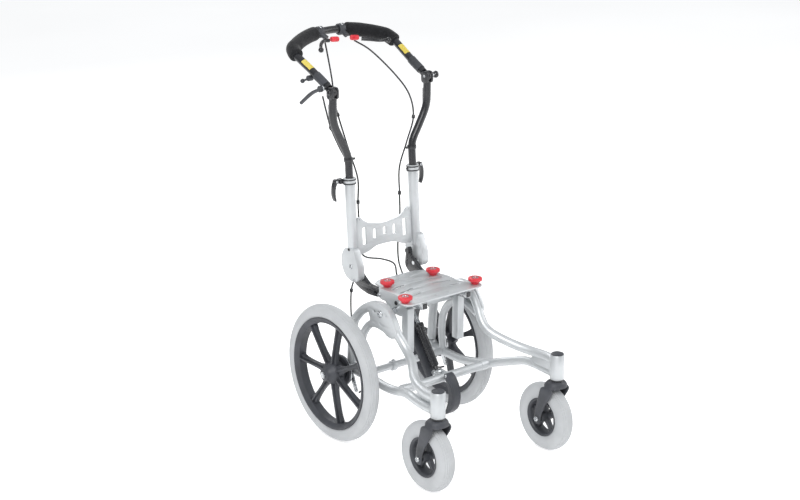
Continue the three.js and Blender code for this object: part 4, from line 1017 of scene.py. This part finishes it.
def handle_levers():
    for side, lever in LEVERS.items():
        x, nose = lever["clamp"], lever["nose"]
        v = bow_v(x)
        ring = turn([(11.4, -10), (15.5, -10), (17, -8), (17, 8), (15.5, 10), (11.4, 10), (11.4, -10)],
                on_handle(x, v), (1, 0, 0), NYLON, 48)
        neck = tube(smooth([on_handle(x, v - 10), on_handle((x + nose) / 2, v - 20, -1),
                on_handle(nose, v - 30, -2)]), 7.6, NYLON, 6)
        bolt = screw(on_handle(x, v, 16), (0, -math.sin(SLOPE), math.cos(SLOPE)), 4)
        settle(join([ring, neck, bolt]), f"lever_clamp_{side}", "handle", [f"brake_lever_body_{side}"])
        line = smooth([on_handle(*p) for p in lever["blade"]], 8)
        radii = [1.15 - 0.25 * i / (len(line) - 1) for i in range(len(line))]
        blade = tube(line, 4.9, BLACK, 6, radii)
        ball = turn([(0, -7.8), (4, -6.8), (6.8, -4), (7.8, 0), (6.8, 4), (4, 6.8), (0, 7.8)],
                on_handle(*lever["blade"][-1]), X_AXIS, BLACK, 32)
        settle(join([blade, ball]), f"brake_blade_{side}", f"brake_lever_{side}", [f"brake_lever_{side}"])
        cx, cv = lever["catch"]
        tab = tube([on_handle(cx - 12, cv + 2), on_handle(cx - 10, cv + 1.7), on_handle(cx, cv),
                on_handle(cx + 10, cv - 1.7), on_handle(cx + 12, cv - 2)],
                   7.8, RED, 5, [0.82, 0.98, 1, 0.98, 0.82])
        settle(tab, f"parking_catch_{side}", f"lever_lock_{side}", [f"lever_lock_{side}"])

    mount = on_handle(-UPRIGHT_X - 19, 22)
    mx, my, mz = mount.x / MM - 8.3, (mount.y - AXLE.y) / MM, mount.z / MM
    line = smooth([at(mx, my, mz), at(mx - 2, my + 40, mz - 20), at(mx - 6, my + 84, mz - 54)], 10)
    blade = tube(line, 4.7, NYLON, 6, [1.15 - 0.3 * abs(0.6 - i / (len(line) - 1)) for i in range(len(line))])
    hub = turn([(0, -5), (8, -5), (9, -4), (9, 4), (8, 5), (0, 5)], at(mx, my, mz), X_AXIS, NYLON, 40)
    settle(join([blade, hub]), "tilt_release_blade", "tilt_lever", ["tilt_lever"])

    root, tip = on_handle(-ARM_X - 2, 96, -TUBE_R - 8.3), on_handle(-ARM_X - 17, 105, -33)
    hub = turn([(0, -8), (7, -8), (8, -7), (8, 7), (7, 8), (0, 8)], root, X_AXIS, NYLON, 32)
    stem = rod(root, tip, 3, NYLON)
    ball = turn([(0, -6.4), (3.4, -5.5), (5.6, -3.2), (6.4, 0), (5.6, 3.2), (3.4, 5.5), (0, 6.4)], tip,
            X_AXIS, NYLON, 32)
    settle(join([hub, stem, ball]), "fold_release_toggle", "release_lever", ["release_lever"])


# ------------------------------------------------------------------ control cables
# From the crossbar down to the brake arm, the same on both sides.
LOWER_ROUTE = [(74, 52, 600), (70, 56, 520), (76, 60, 460), (96, 62, 405), (112, 40, 320), (112, 16, 240),
        (116, -20, 170),
               (138, -44, 144), (158, -53, 142)]
CABLES = {
    "brake_cable_right": [(-32, 262, 1088), (-44, 232, 1050), (-60, 192, 993), (-76, 161, 944),
            (-86, 131, 908), (-76, 94, 810), (-70, 62, 735),
                          (-74, 56, 667), *[(-x, y, z) for x, y, z in LOWER_ROUTE]],
    "tilt_cable": [(-188, 62, 988), (-170, 72, 944), (-150, 78, 890), (-118, 84, 830), (-92, 74, 770),
            (-88, 62, 700), (-92, 48, 630), (-84, 46, 580),
                   (-78, 46, 536), (-66, 34, 508), (-30, 2, 502), (2, -12, 485), (10, -14, 452), (10, -28,
                           424), (3, -52, 405)],
    "brake_cable_left": [(72, 262, 1080), (108, 228, 1050), (140, 160, 990), (146, 100, 940), (138, 70, 880),
            (108, 64, 810), (82, 64, 740),
                         (76, 56, 667), *LOWER_ROUTE],
}
# Where each cable passes from one moving body to the next: (first point, last point, body, next body).
BRAKE_RUNS = [(0, 4, "handle", "uprights"), (4, 7, "uprights", "backrest"), (7, 11, "backrest", "seat"),
        (11, 16, "seat", "chassis")]
CROSSINGS = {
    "brake_cable_right": BRAKE_RUNS,
    "tilt_cable": [(0, 2, "handle", "uprights"), (2, 5, "uprights", "backrest"), (5, 14, "backrest", "seat")],
    "brake_cable_left": BRAKE_RUNS,
}


def control_cables():
    per = 8
    for name, route in CABLES.items():
        line = smooth([at(*p) for p in route], per)
        for i, (first, last, body, following) in enumerate(CROSSINGS[name]):
            run = line[first * per : last * per + 1]
            jacket = tube(run, CABLE_R, VINYL, 3)
            only(jacket)
            bpy.ops.object.shade_smooth_by_angle(angle=math.radians(60))
            jacket.name = f"{name}_run_{i + 1}"
            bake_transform(jacket)
            if i == 0:
                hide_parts(name)
            if i:
                clip = turn([(2.6, -5), (4.6, -5), (5, -4), (5, 4), (4.6, 5), (2.6, 5), (2.6, -5)], run[0],
                        run[1] - run[0], BLACK, 24)
                settle(clip, f"{name}_clip_{i}", body)


# ------------------------------------------------------------------ floor, light and camera
def studio():
    bpy.ops.mesh.primitive_plane_add(size=40, location=(0, 0, 0))
    floor = bpy.context.object
    edit()
    bpy.ops.mesh.subdivide(number_cuts=4)
    bpy.ops.object.mode_set(mode="OBJECT")
    floor.name = "studio_floor"
    paint(floor, FLOOR)
    world = bpy.data.worlds.new("studio_light")
    world.use_nodes = True
    tree = world.node_tree
    # The object is lit by a soft room that darkens towards the floor; the camera sees plain white.
    place = add_node(tree, "ShaderNodeTexCoord").outputs["Generated"]
    height = add_node(tree, "ShaderNodeSeparateXYZ", links={"Vector": place}).outputs["Z"]
    room = add_node(tree, "ShaderNodeValToRGB", links={"Fac": height})
    room.color_ramp.elements[0].position, room.color_ramp.elements[0].color = 0.0, linear("#8d8f92")
    room.color_ramp.elements[1].position, room.color_ramp.elements[1].color = 0.75, linear("#e6e8ea")
    lit = add_node(tree, "ShaderNodeBackground", links={"Color": room.outputs["Color"]}, Strength=0.8)
    seen = add_node(tree, "ShaderNodeBackground", Color=linear("#ffffff"), Strength=1.0)
    ray = add_node(tree, "ShaderNodeLightPath").outputs["Is Camera Ray"]
    blend = add_node(tree, "ShaderNodeMixShader", links={"Fac": ray})
    tree.links.new(lit.outputs["Background"], blend.inputs[1])
    tree.links.new(seen.outputs["Background"], blend.inputs[2])
    tree.links.new(blend.outputs["Shader"], tree.nodes["World Output"].inputs["Surface"])
    bpy.context.scene.world = world
    for name, place, size, power in (("key", (-2.6, -2.2, 3.4), 2.6, 130),
            ("fill", (3.2, -1.6, 2.2), 3.0, 60), ("rim", (0.6, 3.4, 2.8), 2.4, 70)):
        bpy.ops.object.light_add(type="AREA", location=place)
        light = bpy.context.object
        light.name = f"soft_{name}"
        light.data.size = size
        light.data.energy = power
        light.rotation_euler = (Vector((0, 0, 0.5)) - Vector(place)).to_track_quat("-Z", "Y").to_euler()


VIEW_AZIMUTH, VIEW_ELEVATION, VIEW_DISTANCE = math.radians(-38.55), math.radians(18.19), 5391
VIEW_TARGET = (240.92, 260.57, 406.88)


def camera():
    a, e = VIEW_AZIMUTH, VIEW_ELEVATION
    away = Vector((math.sin(a) * math.cos(e), -math.cos(a) * math.cos(e), math.sin(e)))
    bpy.ops.object.camera_add(location=at(*VIEW_TARGET) + away * VIEW_DISTANCE * MM)
    made = bpy.context.object
    made.data.lens, made.data.sensor_width = 79.04, 36
    made.rotation_euler = (-away).to_track_quat("-Z", "Y").to_euler()
    made.data.clip_end = 100
    bpy.context.scene.camera = made


camera()
rear_wheel()
caster()
side_frame()
cross_members()
seat_carrier()
gas_spring()
backrest()
uprights()
push_handle()
handle_levers()
control_cables()
studio()
bpy.context.scene.view_settings.view_transform = "Standard"
